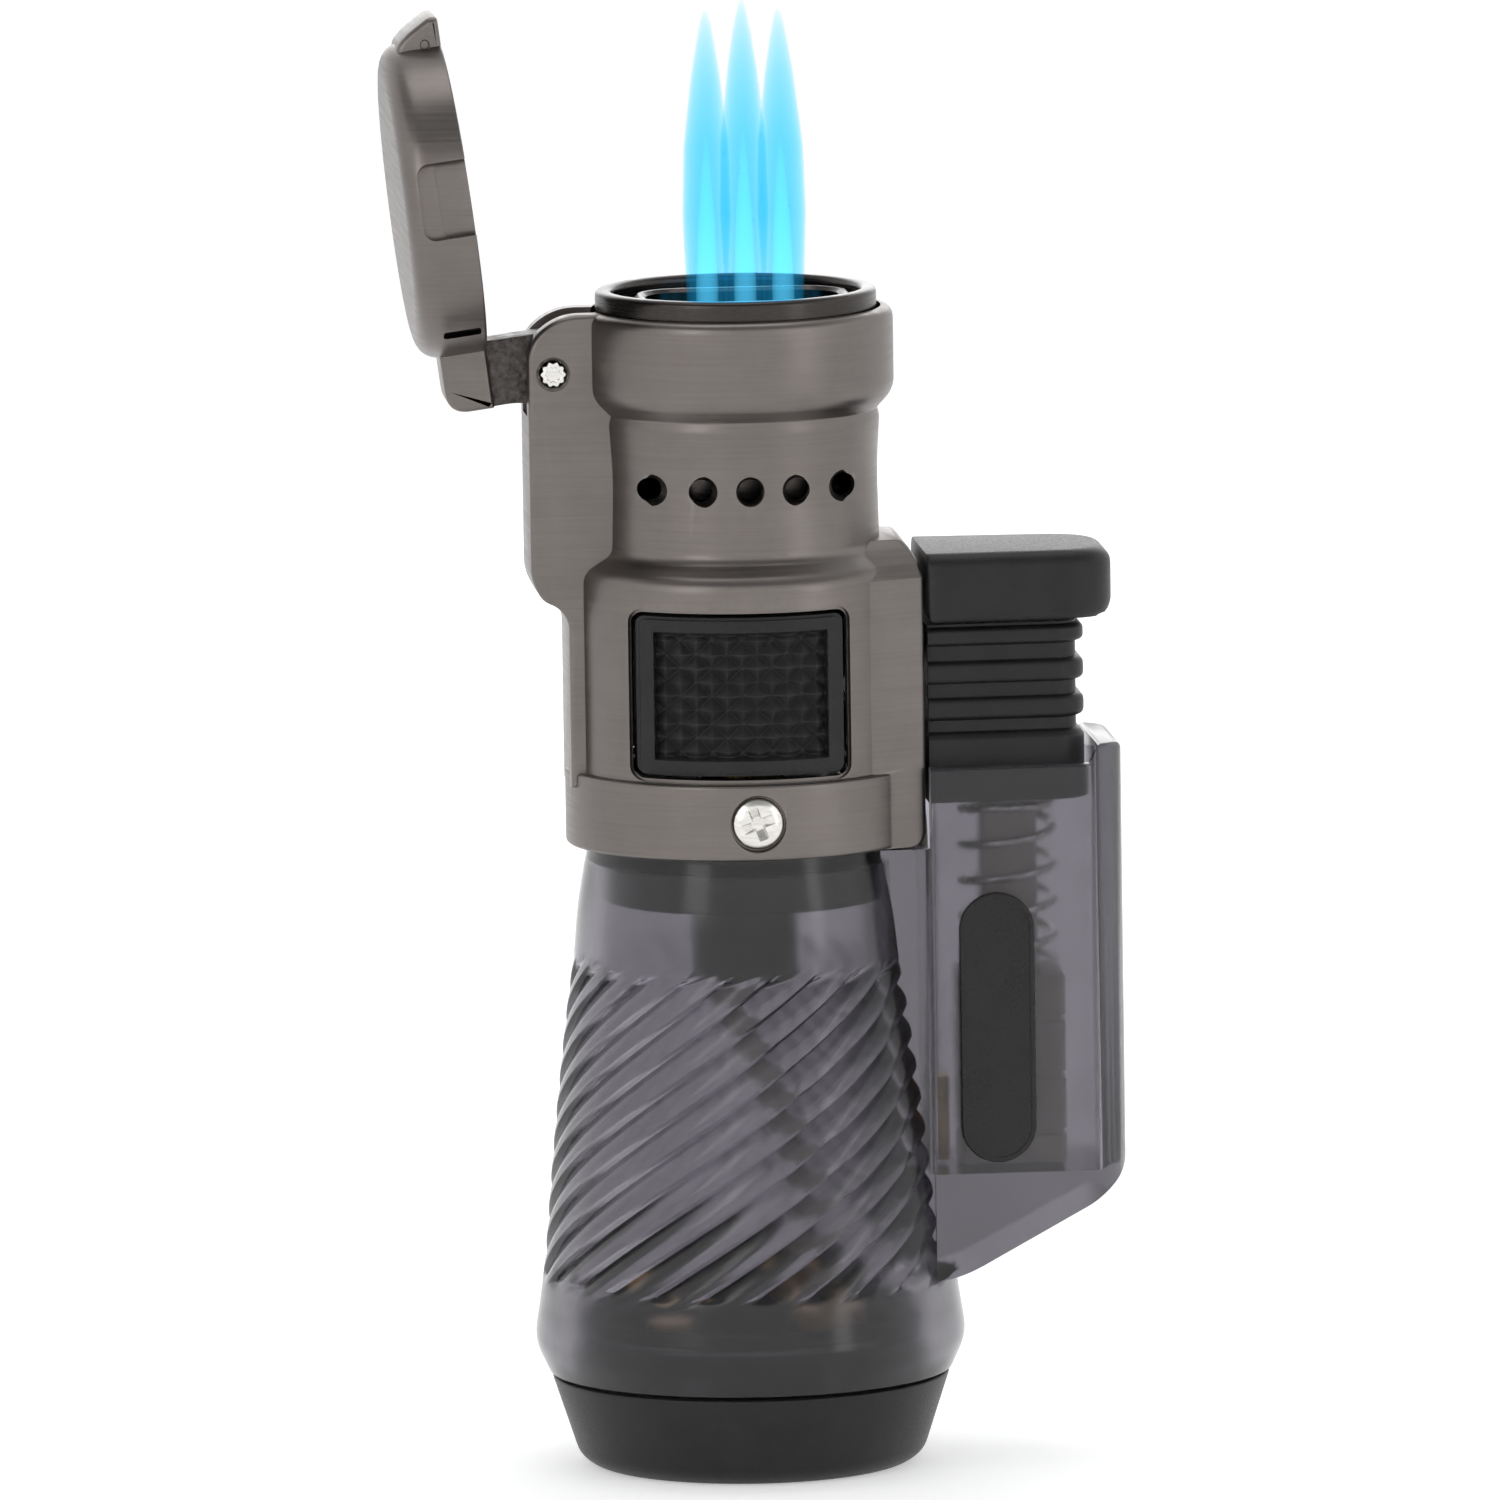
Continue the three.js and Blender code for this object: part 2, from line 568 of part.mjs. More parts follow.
function burnerBlock() {
  const body = extrudedZ(roundedRect(JET_CENTRE - 6.3, JET_CENTRE + 5.2, -3.7, 3.7, 2.4), 67, BLOCK_TOP);
  let shape = disc(THROAT_BORE - GAP, BLOCK_FLANGE_Z, GUARD_BOTTOM - GAP, ROUND).add(body);
  for (const number of [1, 2, 3]) {
    shape = shape.subtract(disc(JET_RADIUS + 0.2, 70, 80, 16, jetX(number)));
  }
  return shape.subtract(disc(1.15, 60, 80, 16, INSULATOR_X));
}

function jetNozzle(number) {
  const profile = [
    [0, 70.3], [JET_RADIUS, 70.3], [JET_RADIUS, JET_TOP - 0.3], [JET_RADIUS - 0.25, JET_TOP],
    [0.4, JET_TOP], [0.4, 74], [0, 74],
  ];
  return turned(profile, 16, jetX(number));
}

function addBurner() {
  add('flame_guard', flameGuard(), 'darkMetal');
  add('burner_block', burnerBlock(), 'darkMetal');
  for (const number of [1, 2, 3]) add(`jet_nozzle_${number}`, jetNozzle(number), 'brass');
  add('electrode_insulator', ring(0.45, 0.95, 65.0, 76.4, 16, INSULATOR_X), 'ivory');
  const electrode = [[INSULATOR_X, 0, 66.3], [INSULATOR_X, 0, 77.0], [INSULATOR_X + 0.4, 0, 78.2],
    [INSULATOR_X + 1.2, 0, 78.9]];
  add('spark_electrode', wire(electrode, 0.25, 14, 6), 'steel');
}

// ---------------------------------------------------------------- spark unit and plunger
function sparkCase() {
  const outline = roundedRect(SPARK_X - 3.8, SPARK_X + 3.8, -3.4, 3.4, 0.6);
  return extrudedZ(outline, CHAMBER_FLOOR + GAP, 34.3)
    .subtract(block(SPARK_X - 2.3, SPARK_X + 2.3, -2.2, 2.2, 23.5, 40));
}

const sparkSlider = () => block(SPARK_X - 2.0, SPARK_X + 2.0, -1.9, 1.9, 33.0, 49.2);

// Ribbed stem of the plunger, with the ramp that pushes the valve rocker.
function plungerStem() {
  const core = taperedPlan(STEM_LEFT, STEM_RIGHT - 0.4, STEM_HALF - 0.25, CHAMBER_TAPER, 1.6);
  const rib = taperedPlan(STEM_LEFT, STEM_RIGHT + 0.2, STEM_HALF, CHAMBER_TAPER, 1.8);
  let stem = extrudedZ(core, STEM_BOTTOM, CAP_BOTTOM - GAP).add(extrudedZ(rib, STEM_BOTTOM, 52));
  for (const z of RIB_CENTRES) {
    stem = stem.add(extrudedZ(rib, z - RIB_HEIGHT / 2, z + RIB_HEIGHT / 2, 0.3));
  }
  const ramp = new THREE.Shape([
    mm(14, 50.6), mm(STEM_LEFT - 0.02, 50.6), mm(STEM_LEFT - 0.7, 58.6), mm(STEM_LEFT - 0.7, 59.2), mm(14, 59.2),
  ]);
  const socket = block(SPARK_X - 2.3, SPARK_X + 2.3, -2.2, 2.2, 40, 49.5);
  const wireGroove = block(12, 14.1, 4.3, 6, 40, 62);
  return stem.add(extrudedY(ramp, 1.6)).subtract(socket).subtract(wireGroove);
}

function plungerCap() {
  return extrudedZ(taperedPlan(STEM_LEFT, CAP_RIGHT, CAP_HALF, CHAMBER_TAPER, 3.4), CAP_BOTTOM, CAP_TOP, 0.6);
}

// Coil spring round the slider, from the spark unit's case to the stem.
function returnSpring() {
  const [bottom, top, turns, radius] = [35.1, 46.2, 5, 3.3];
  const points = [];
  for (let i = 0; i <= turns * 8; i += 1) {
    const angle = (i * Math.PI) / 4;
    const z = bottom + ((top - bottom) * i) / (turns * 8);
    points.push([SPARK_X + radius * Math.cos(angle), radius * Math.sin(angle), z]);
  }
  return wire(points, 0.35, turns * 9, 6);
}

// Brass strip at the left of the spark unit, where the spark lead starts.
const contactStrip = () => block(12.9, 13.9, -1.2, 1.2, CHAMBER_FLOOR + GAP, 27.0);

function sparkLead() {
  return wire([[13.1, 4.85, 24], [13.1, 4.85, 34], [13.1, 4.85, 44], [12.45, 4.85, 48.2], [11.8, 4.8, 52],
    [11.2, 4.7, 57.5], [8.4, 3.9, 61.5], [3.0, 3.4, 62.6], [-2.0, 1.7, 62.8], [-4.1, 0.1, 63.6],
    [-4.1, 0, 64.6]], 0.35, 28, 6);
}

function addSparkUnitAndPlunger(plungerGroup) {
  add('spark_case', sparkCase(), 'ivory');
  add('contact_strip', contactStrip(), 'brass');
  add('spark_lead', sparkLead(), 'ivory');
  add('return_spring', returnSpring(), 'steel');
  add('spark_slider', sparkSlider(), 'ivory', plungerGroup);
  add('plunger_stem', plungerStem(), 'black', plungerGroup);
  add('plunger_cap', plungerCap(), 'black', plungerGroup);
}

// Plain stadium badge on the front of the chamber, square to its tapered face.
function addBadge() {
  const badge = new THREE.Group();
  const x = 17.05;
  const faceY = -(CHAMBER_HALF + 0.6 - CHAMBER_TAPER * x);
  badge.position.set(x, faceY, 31.3);
  badge.rotation.z = Math.atan(CHAMBER_TAPER);
  const plate = extrudedY(roundedRect(-2.65, 2.65, -9.55, 9.55, 2.64), 0.25).translate([0, -0.3, 0]);
  add('badge', plate, 'black', badge);
  lighter.add(badge);
}

// ---------------------------------------------------------------- lid
// The lid is drawn closed, measured from the hinge pin, then turned open with its group.
const LID_X = -PIN_X;

function lidCover() {
  const top = LID_RIM + LID_HEIGHT;
  const cover = turned([
    [0, LID_RIM], [LID_RADIUS - 0.2, LID_RIM], [LID_RADIUS, LID_RIM + 0.2], [LID_RADIUS, top - 1.6],
    [LID_RADIUS - 0.5, top - 0.5], [LID_RADIUS - 1.6, top], [0, top],
  ], ROUND, LID_X);
  const hollow = disc(LID_BORE, 0, top - LID_ROOF, ROUND, LID_X);
  const tab = new THREE.Shape();
  tab.moveTo(LID_X + 9, LID_RIM);
  tab.lineTo(LID_X + 12.8, LID_RIM);
  tab.lineTo(LID_X + 12.9, LID_RIM + 0.7);
  tab.lineTo(LID_X + 11.9, LID_RIM + 2.6);
  tab.lineTo(LID_X + 11.1, LID_RIM + 3.6);
  tab.lineTo(LID_X + 9, LID_RIM + 3.6);
  tab.closePath();
  const lug = new THREE.Shape();
  lug.moveTo(3.4, LID_RIM);
  lug.lineTo(3.4, 7.6);
  lug.lineTo(0.6, 7.6);
  lug.quadraticCurveTo(-1.6, 7.5, -1.85, 5.6);
  lug.lineTo(-1.85, LID_RIM);
  lug.closePath();
  const notch = block(LID_X - 1.75, LID_X + 3.6, -14, 14, LID_RIM - 1, LID_RIM + 3.9);
  const keep = disc(LID_RADIUS - 0.4, 0, 12, ROUND, LID_X);
  return cover.add(extrudedY(tab, 2.8, 0.2)).add(extrudedY(lug, 2.4, 0.2))
    .subtract(hollow)
    .subtract(notch.subtract(keep))
    .subtract(block(-4, 3.1, -ARM_HALF - GAP, ARM_HALF + GAP, 0, 4.6 + GAP));
}

// Cast arm between the lid's lug and the pin.
function lidArm() {
  const arm = new THREE.Shape();
  arm.moveTo(-1.8, 4.6);
  arm.lineTo(-1.8, 2.4);
  arm.lineTo(-ARM_EYE, 0);
  arm.absarc(0, 0, ARM_EYE, Math.PI, 2 * Math.PI, false);
  arm.lineTo(ARM_EYE, 4.6);
  arm.closePath();
  return extrudedY(arm, ARM_HALF).subtract(rodY(0, 0, PIN_RADIUS + 0.08, -5, 5, 16));
}

function addLid() {
  const hinge = new THREE.Group();
  hinge.position.set(PIN_X, 0, PIN_Z);
  hinge.rotation.y = THREE.MathUtils.degToRad(-LID_OPEN_DEG);
  lighter.add(hinge);
  add('lid', lidCover(), 'gunmetal', hinge);
  add('lid_arm', lidArm(), 'darkMetal', hinge);
}

// ---------------------------------------------------------------- assembly
const [dialGroup, leverGroup, stemGroup, plungerGroup] = Array.from({ length: 4 }, () => new THREE.Group());
lighter.add(dialGroup, leverGroup, stemGroup, plungerGroup);
addTankAndBase(dialGroup);
addGasValve(leverGroup, stemGroup);
addHead();
addBurner();
addSparkUnitAndPlunger(plungerGroup);
addBadge();
addLid();

export default lighter;
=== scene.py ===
"""Builds the finished look of a triple-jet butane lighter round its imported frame.

Lengths in the shape code are millimetres in the frame's axes: +Z up, +X from the hinge
to the plunger, -Y the front. They are scaled to metres as each mesh is made.
"""

import json
import math

import bmesh
import bpy
import numpy as np
from bpy.props import FloatProperty, FloatVectorProperty, IntProperty, PointerProperty
from mathutils import Matrix, Vector


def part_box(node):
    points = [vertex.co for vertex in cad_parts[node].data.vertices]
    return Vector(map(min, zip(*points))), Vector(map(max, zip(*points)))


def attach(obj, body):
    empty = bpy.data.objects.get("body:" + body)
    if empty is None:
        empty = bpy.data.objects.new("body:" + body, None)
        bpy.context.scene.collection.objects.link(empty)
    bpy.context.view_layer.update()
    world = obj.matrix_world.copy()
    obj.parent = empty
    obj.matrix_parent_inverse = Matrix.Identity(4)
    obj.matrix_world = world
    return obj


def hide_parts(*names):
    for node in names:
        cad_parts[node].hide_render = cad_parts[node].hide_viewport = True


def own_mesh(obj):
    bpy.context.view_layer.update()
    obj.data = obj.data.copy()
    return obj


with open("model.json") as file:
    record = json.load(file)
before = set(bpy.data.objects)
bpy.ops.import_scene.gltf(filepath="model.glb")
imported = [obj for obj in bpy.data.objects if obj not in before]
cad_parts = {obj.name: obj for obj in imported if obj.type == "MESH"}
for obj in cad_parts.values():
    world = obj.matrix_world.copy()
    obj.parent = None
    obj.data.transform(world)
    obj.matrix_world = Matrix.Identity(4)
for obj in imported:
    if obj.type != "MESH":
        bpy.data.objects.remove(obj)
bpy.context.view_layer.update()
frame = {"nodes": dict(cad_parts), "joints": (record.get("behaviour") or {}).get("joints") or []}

bl_info = {
    "name": "Torch Lighter Builder",
    "version": (1, 0, 0),
    "blender": (4, 5, 0),
    "location": "View3D > Sidebar > Lighter",
    "description": "Builds the tank, head, lid, plunger and burner of a jet-flame lighter",
    "category": "Add Mesh",
}

MM = 0.001
TURN = 2 * math.pi


# ------------------------------------------------------------------ the frame in millimetres
def low(node):
    """Lowest corner of a frame node, in millimetres."""
    return [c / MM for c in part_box(node)[0]]


def high(node):
    """Highest corner of a frame node, in millimetres."""
    return [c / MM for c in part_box(node)[1]]


def joint(name):
    """The record's joint of that name."""
    return next(j for j in frame["joints"] if j["name"] == name)


PIN_X, _, PIN_Z = (c / MM for c in joint("lid_hinge")["pos_m"])
LID_OPEN = math.radians(joint("lid_hinge")["range_deg"][1])


# ------------------------------------------------------------------ outlines
def filleted(points, radius, closed=False, steps=5):
    """A polyline with its corners rounded. radius is one number, or one for each point."""
    points = [np.array(p, float) for p in points]
    count = len(points)
    radii = [radius] * count if np.isscalar(radius) else list(radius)
    out = []
    for i, corner in enumerate(points):
        ends = not closed and i in (0, count - 1)
        before, after = points[i - 1], points[(i + 1) % count]
        back, ahead = np.linalg.norm(before - corner), np.linalg.norm(after - corner)
        if ends or radii[i] <= 0 or min(back, ahead) < 1e-9:
            out.append(corner)
            continue
        to_back, to_ahead = (before - corner) / back, (after - corner) / ahead
        cut = min(radii[i], 0.48 * back, 0.48 * ahead)
        start, end = corner + to_back * cut, corner + to_ahead * cut
        for t in np.linspace(0, 1, steps + 1):
            out.append((1 - t) ** 2 * start + 2 * t * (1 - t) * corner + t * t * end)
    return np.array(out)


def arc(cx, cy, radius, start, end, steps):
    """Points of a circle's arc, angles in degrees."""
    a = np.radians(np.linspace(start, end, steps + 1))
    return np.stack([cx + radius * np.cos(a), cy + radius * np.sin(a)], axis=1)


def rounded_rect(x0, x1, y0, y1, corner, steps=8):
    """A rectangle with round corners, anticlockwise."""
    return np.concatenate([
        arc(x1 - corner, y0 + corner, corner, -90, 0, steps),
        arc(x1 - corner, y1 - corner, corner, 0, 90, steps),
        arc(x0 + corner, y1 - corner, corner, 90, 180, steps),
        arc(x0 + corner, y0 + corner, corner, 180, 270, steps),
    ])


def tapered_plan(left, right, half, taper, corner, left_corner=0.2, steps=10):
    """A plan that narrows to the right, with a large round at its right end."""
    end = half - taper * (right - left - corner)
    front = np.linspace([left + left_corner, -half], [right - corner, -end], 12)
    back = np.linspace([right - corner, end], [left + left_corner, half], 12)
    return np.concatenate([
        front[:-1],
        arc(right - corner, corner - end, corner, -90, 0, steps),
        arc(right - corner, end - corner, corner, 0, 90, steps),
        back[1:],
        arc(left + left_corner, half - left_corner, left_corner, 90, 180, 3)[1:],
        arc(left + left_corner, left_corner - half, left_corner, 180, 270, 3)[:-1],
    ])


def offset(outline, distance):
    """An anticlockwise outline moved outwards along its corner normals."""
    ahead = np.roll(outline, -1, axis=0) - outline
    back = outline - np.roll(outline, 1, axis=0)
    tangents = ahead / np.maximum(np.linalg.norm(ahead, axis=1, keepdims=True), 1e-9)
    tangents += back / np.maximum(np.linalg.norm(back, axis=1, keepdims=True), 1e-9)
    tangents /= np.maximum(np.linalg.norm(tangents, axis=1, keepdims=True), 1e-9)
    normals = np.stack([tangents[:, 1], -tangents[:, 0]], axis=1)
    return outline + normals * distance


# ------------------------------------------------------------------ meshes
def mesh_object(name, points, faces):
    """A new mesh object from points in millimetres."""
    mesh = bpy.data.meshes.new(name)
    mesh.from_pydata((np.asarray(points, float) * MM).tolist(), [], faces)
    mesh.validate()
    obj = bpy.data.objects.new(name, mesh)
    bpy.context.scene.collection.objects.link(obj)
    return obj


def grid_faces(rows, columns, ring=False):
    """Quads between neighbouring rows of points. ring joins the last row to the first."""
    faces = []
    for r in range(rows if ring else rows - 1):
        a, b = r * columns, ((r + 1) % rows) * columns
        for c in range(columns):
            after = (c + 1) % columns
            faces.append((a + c, a + after, b + after, b + c))
    return faces


def loft(name, rings, ring=False):
    """A closed solid through rings of points, anticlockwise from above and listed upwards."""
    rings = [np.asarray(r, float) for r in rings]
    rows, columns = len(rings), len(rings[0])
    faces = grid_faces(rows, columns, ring)
    points = np.concatenate(rings)
    if not ring:
        faces.append(tuple(reversed(range(columns))))
        faces.append(tuple(range((rows - 1) * columns, rows * columns)))
    return mesh_object(name, points, faces)


def at_height(outline, z):
    """A flat outline lifted to a height."""
    return np.column_stack([outline, np.full(len(outline), z)])


def turned(name, profile, x=0.0, y=0.0, facets=96):
    """A solid of revolution about an upright axis, from (radius, height) up the outside.

    A profile that starts off the axis is a closed ring.
    """
    profile = np.asarray(profile, float)
    closed = profile[0][0] > 1e-6
    if closed and np.allclose(profile[0], profile[-1]):
        profile = profile[:-1]
    angles = np.arange(facets) * TURN / facets
    circle = np.stack([np.cos(angles), np.sin(angles)], axis=1)
    body = profile if closed else profile[1:-1]
    rings = [at_height(circle * r + (x, y), z) for r, z in body]
    points = np.concatenate(rings)
    faces = grid_faces(len(rings), facets, ring=closed)
    if not closed:
        bottom, top = len(points), len(points) + 1
        points = np.concatenate([points, [[x, y, profile[0][1]], [x, y, profile[-1][1]]]])
        last = (len(rings) - 1) * facets
        faces += [(bottom, (c + 1) % facets, c) for c in range(facets)]
        faces += [(top, last + c, last + (c + 1) % facets) for c in range(facets)]
    return mesh_object(name, points, faces)


def ring_profile(inner, outer, bottom, top, edge=0.12, steps=3):
    """The section of a ring with rounded edges."""
    corners = [(inner, bottom), (outer, bottom), (outer, top), (inner, top)]
    return filleted(corners, edge, closed=True, steps=steps)


def prism(name, outline, bottom, top, edge=0.0, steps=4):
    """An outline pushed up between two heights, with its two rims rounded."""
    if edge <= 0:
        return loft(name, [at_height(outline, bottom), at_height(outline, top)])
    turns = np.linspace(0, math.pi / 2, steps + 1)
    lower = [(bottom + edge * (1 - math.sin(a)), edge * (1 - math.cos(a))) for a in turns[::-1]]
    upper = [(top - edge * (1 - math.sin(a)), edge * (1 - math.cos(a))) for a in turns]
    return loft(name, [at_height(offset(outline, -inset), z) for z, inset in lower + upper])


def moved(obj, shift=(0, 0, 0), turn=0.0, axis="Z"):
    """Turns a piece about an axis through the origin, then shifts it by millimetres."""
    obj.data.transform(Matrix.Translation(Vector(shift) * MM) @ Matrix.Rotation(turn, 4, axis))
    return obj


def lying(obj, axis="y"):
    """Turns a prism drawn in X and Z so that it runs along Y, or one in Y and Z along X."""
    turn = Matrix(((1, 0, 0), (0, 0, -1), (0, 1, 0)))
    if axis == "x":
        turn = Matrix(((0, 0, 1), (1, 0, 0), (0, 1, 0)))
    obj.data.transform(turn.to_4x4())
    return obj


def facing_out(obj, side, x=0.0, z=0.0):
    """Turns an upright piece so that it points out to the front (-1) or the back (1)."""
    return moved(obj, (x, 0, z), -side * math.pi / 2, "X")


def rod(name, x, z, radius, y0, y1, facets=48):
    """A rod along Y."""
    circle = arc(x, z, radius, 0, 360, facets)[:-1]
    return lying(prism(name, circle, -y1, -y0))


def box(name, x0, x1, y0, y1, z0, z1, corner=0.05, edge=0.0):
    """A block with round upright edges."""
    return prism(name, rounded_rect(x0, x1, y0, y1, corner, 2), z0, z1, edge)


def wire(name, points, radius, sides=16, samples=160):
    """A round wire along a smooth curve through points."""
    points = np.array(points, float)
    path = smooth_path(points, samples)
    tangents = np.gradient(path, axis=0)
    tangents /= np.linalg.norm(tangents, axis=1, keepdims=True)
    side = np.cross(tangents[0], [0.3, 0.9, 0.1])
    rings = []
    for place, tangent in zip(path, tangents):
        side = side - tangent * np.dot(side, tangent)
        side /= np.linalg.norm(side)
        up = np.cross(tangent, side)
        angles = np.arange(sides) * TURN / sides
        circle = np.outer(np.cos(angles), side) + np.outer(np.sin(angles), up)
        rings.append(place + radius * circle)
    return loft(name, rings)


def smooth_path(points, samples):
    """A Catmull-Rom curve through points, evenly stepped from point to point."""
    padded = np.concatenate([[2 * points[0] - points[1]], points, [2 * points[-1] - points[-2]]])
    out = []
    for t in np.linspace(0, len(points) - 1, samples):
        i = min(int(t), len(points) - 2)
        u = t - i
        a, b, c, d = padded[i : i + 4]
        square, cube = 2 * a - 5 * b + 4 * c - d, 3 * b - a - 3 * c + d
        out.append(0.5 * (2 * b + (c - a) * u + square * u**2 + cube * u**3))
    return np.array(out)


def carve(obj, *cutters, operation="DIFFERENCE"):
    """Cuts each cutter from obj, joins it on or keeps what they share, and drops the cutters."""
    for cutter in cutters:
        modifier = obj.modifiers.new("carve", "BOOLEAN")
        modifier.operation = operation
        modifier.solver = "MANIFOLD"
        modifier.object = cutter
        bpy.context.view_layer.update()
        result = obj.evaluated_get(bpy.context.evaluated_depsgraph_get())
        made = bpy.data.meshes.new_from_object(result)
        obj.modifiers.clear()
        if not made.polygons:
            raise RuntimeError(f"cutting {obj.name} with {cutter.name} left nothing")
        spent = obj.data
        obj.data = made
        bpy.data.meshes.remove(spent)
        mesh = cutter.data
        bpy.data.objects.remove(cutter)
        bpy.data.meshes.remove(mesh)
    return obj


def join(obj, *others):
    """Joins other pieces on to obj."""
    return carve(obj, *others, operation="UNION")


def shaded(obj, angle=35.0):
    """Smooth shading that breaks at edges sharper than angle, in degrees."""
    bm = bmesh.new()
    bm.from_mesh(obj.data)
    bmesh.ops.remove_doubles(bm, verts=bm.verts, dist=1e-7)
    bmesh.ops.dissolve_degenerate(bm, edges=bm.edges, dist=1e-7)
    limit = math.radians(angle)
    for face in bm.faces:
        face.smooth = True
    for edge in bm.edges:
        edge.smooth = len(edge.link_faces) == 2 and edge.calc_face_angle(0.0) < limit
    bm.to_mesh(obj.data)
    bm.free()
    return obj


def finished(obj, body, material, nodes, angle=35.0):
    """Gives a piece its shading, material and body, and hides the frame nodes it stands for."""
    shaded(obj, angle)
    obj.data.name = obj.name
    obj.data.materials.clear()
    obj.data.materials.append(material)
    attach(obj, body)
    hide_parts(*nodes)


# ------------------------------------------------------------------ material tools
def start_material(name, metallic=0.0, roughness=0.5):
    """A new node material with its shader, or None and the old one if it is already made.

    The frame's own plain materials are named after the slots, so a finish has its own name.
    """
    name += "_finish"
    if name in bpy.data.materials:
        return bpy.data.materials[name], None, None
    made = bpy.data.materials.new(name)
    made.use_nodes = True
    tree = made.node_tree
    shader = tree.nodes["Principled BSDF"]
    shader.inputs["Metallic"].default_value = metallic
    shader.inputs["Roughness"].default_value = roughness
    return made, tree, shader


def node(tree, kind, links=None, **values):
    """A node with its sockets linked or set by name, and its other values set."""
    made = tree.nodes.new(kind)
    for key, value in values.items():
        setattr(made, key, value)
    for key, value in (links or {}).items():
        if isinstance(value, bpy.types.NodeSocket):
            tree.links.new(value, made.inputs[key])
        else:
            made.inputs[key].default_value = value
    return made


def coords(tree, stretch=(1, 1, 1), turn=(0, 0, 0)):
    """Object coordinates, stretched so that one unit is one feature."""
    source = node(tree, "ShaderNodeTexCoord").outputs["Object"]
    mapped = node(tree, "ShaderNodeMapping", {"Vector": source, "Scale": stretch, "Rotation": turn})
    return mapped.outputs["Vector"]


def noise(tree, vector, detail=3.0, roughness=0.6):
    """Noise with one feature to each unit of vector."""
    settings = {"Vector": vector, "Scale": 1.0, "Detail": detail, "Roughness": roughness}
    return node(tree, "ShaderNodeTexNoise", settings).outputs["Fac"]


def grain(tree, size, detail=3.0, roughness=0.6):
    """Even noise whose features are about size millimetres across."""
    scale = 1 / (size * MM)
    return noise(tree, coords(tree, (scale, scale, scale)), detail, roughness)


def spread(tree, value, low, high, start=0.3, end=0.7):
    """The value between start and end, spread from low to high."""
    settings = {"Value": value, "From Min": start, "From Max": end, "To Min": low, "To Max": high}
    return node(tree, "ShaderNodeMapRange", settings).outputs["Result"]


def blended(tree, factor, dark, light):
    """A colour between two colours or sockets."""
    mix = node(tree, "ShaderNodeMix", data_type="RGBA")
    tree.links.new(factor, mix.inputs["Factor"])
    for socket, colour in ((mix.inputs[6], dark), (mix.inputs[7], light)):
        if isinstance(colour, bpy.types.NodeSocket):
            tree.links.new(colour, socket)
        else:
            socket.default_value = (*colour, 1)
    return mix.outputs[2]


def maths(tree, operation, a, b):
    """The result of a Math node on two sockets or numbers."""
    made = node(tree, "ShaderNodeMath", operation=operation)
    for socket, value in zip(made.inputs, (a, b)):
        if isinstance(value, bpy.types.NodeSocket):
            tree.links.new(value, socket)
        else:
            socket.default_value = value
    return made.outputs[0]


def edges(tree):
    """How far a place stands proud as an edge, broken up by noise: the mask for edges lightened partly by
    abrasion and partly as a painted highlight.
    """
    proud = spread(tree, node(tree, "ShaderNodeNewGeometry").outputs["Pointiness"], 0, 1, 0.52, 0.62)
    return maths(tree, "MULTIPLY", proud, spread(tree, grain(tree, 0.5), 0.3, 1))


def painted(tree, shader, factor, dark, light, start=0.3, end=0.7):
    """Links a base colour that runs from dark to light as the factor runs from start to end."""
    colour = blended(tree, spread(tree, factor, 0, 1, start, end), dark, light)
    tree.links.new(colour, shader.inputs["Base Color"])


def roughened(tree, shader, factor, low, high, start=0.3, end=0.7):
    """Links a roughness that runs from low to high as the factor runs from start to end."""
    tree.links.new(spread(tree, factor, low, high, start, end), shader.inputs["Roughness"])


def bumps(tree, shader, *layers):
    """Adds layers of (height, depth in millimetres) to the shader's normal."""
    normal = None
    for height, depth in layers:
        settings = {"Height": height, "Distance": depth * MM, "Strength": 1.0}
        if normal:
            settings["Normal"] = normal
        normal = node(tree, "ShaderNodeBump", settings).outputs["Normal"]
    tree.links.new(normal, shader.inputs["Normal"])


def shades(colour, dark, light):
    """A darker and a lighter version of a colour."""
    return tuple(c * dark for c in colour), tuple(min(1.0, c * light) for c in colour)


# ------------------------------------------------------------------ finishes
def brushed(name, colour, roughness, abrasion_and_highlight_strength=0.35):
    """Satin metal brushed round the body, its edges lighter in colour, partly by abrasion and partly as a
    painted highlight.
    """
    made, tree, shader = start_material(name, metallic=1.0)
    if not tree:
        return made
    lines = noise(tree, coords(tree, (90, 90, 5200)), 2.0, 0.7)
    cloud = grain(tree, 4.0, 4.0)
    dark, light = shades(colour, 0.9, 1.08)
    base = blended(tree, spread(tree, maths(tree, "ADD", lines, cloud), 0, 1, 0.7, 1.3), dark, light)
    # Edges lighter and smoother: partly abrasion of the metal, partly a painted highlight along them.
    abrasion_and_highlight = maths(tree, "MULTIPLY", edges(tree), abrasion_and_highlight_strength)
    tree.links.new(blended(tree, abrasion_and_highlight, base, shades(colour, 1, 1.8)[1]), shader.inputs["Base Color"])
    rough = spread(tree, lines, roughness - 0.05, roughness + 0.06)
    rough = maths(tree, "SUBTRACT", rough, maths(tree, "MULTIPLY", abrasion_and_highlight, 0.2))
    tree.links.new(rough, shader.inputs["Roughness"])
    shader.inputs["Anisotropic"].default_value = 0.25
    bumps(tree, shader, (lines, 0.003), (grain(tree, 0.18, 2.0), 0.0025))
    return made


def gunmetal():
    """The head's and the lid's finish."""
    return brushed("gunmetal", colours().gunmetal, 0.34)


def dark_metal():
    """A darker, shinier metal for the rim and the burner."""
    return brushed("dark_metal", shades(colours().gunmetal, 0.32, 1)[0], 0.26, 0.5)


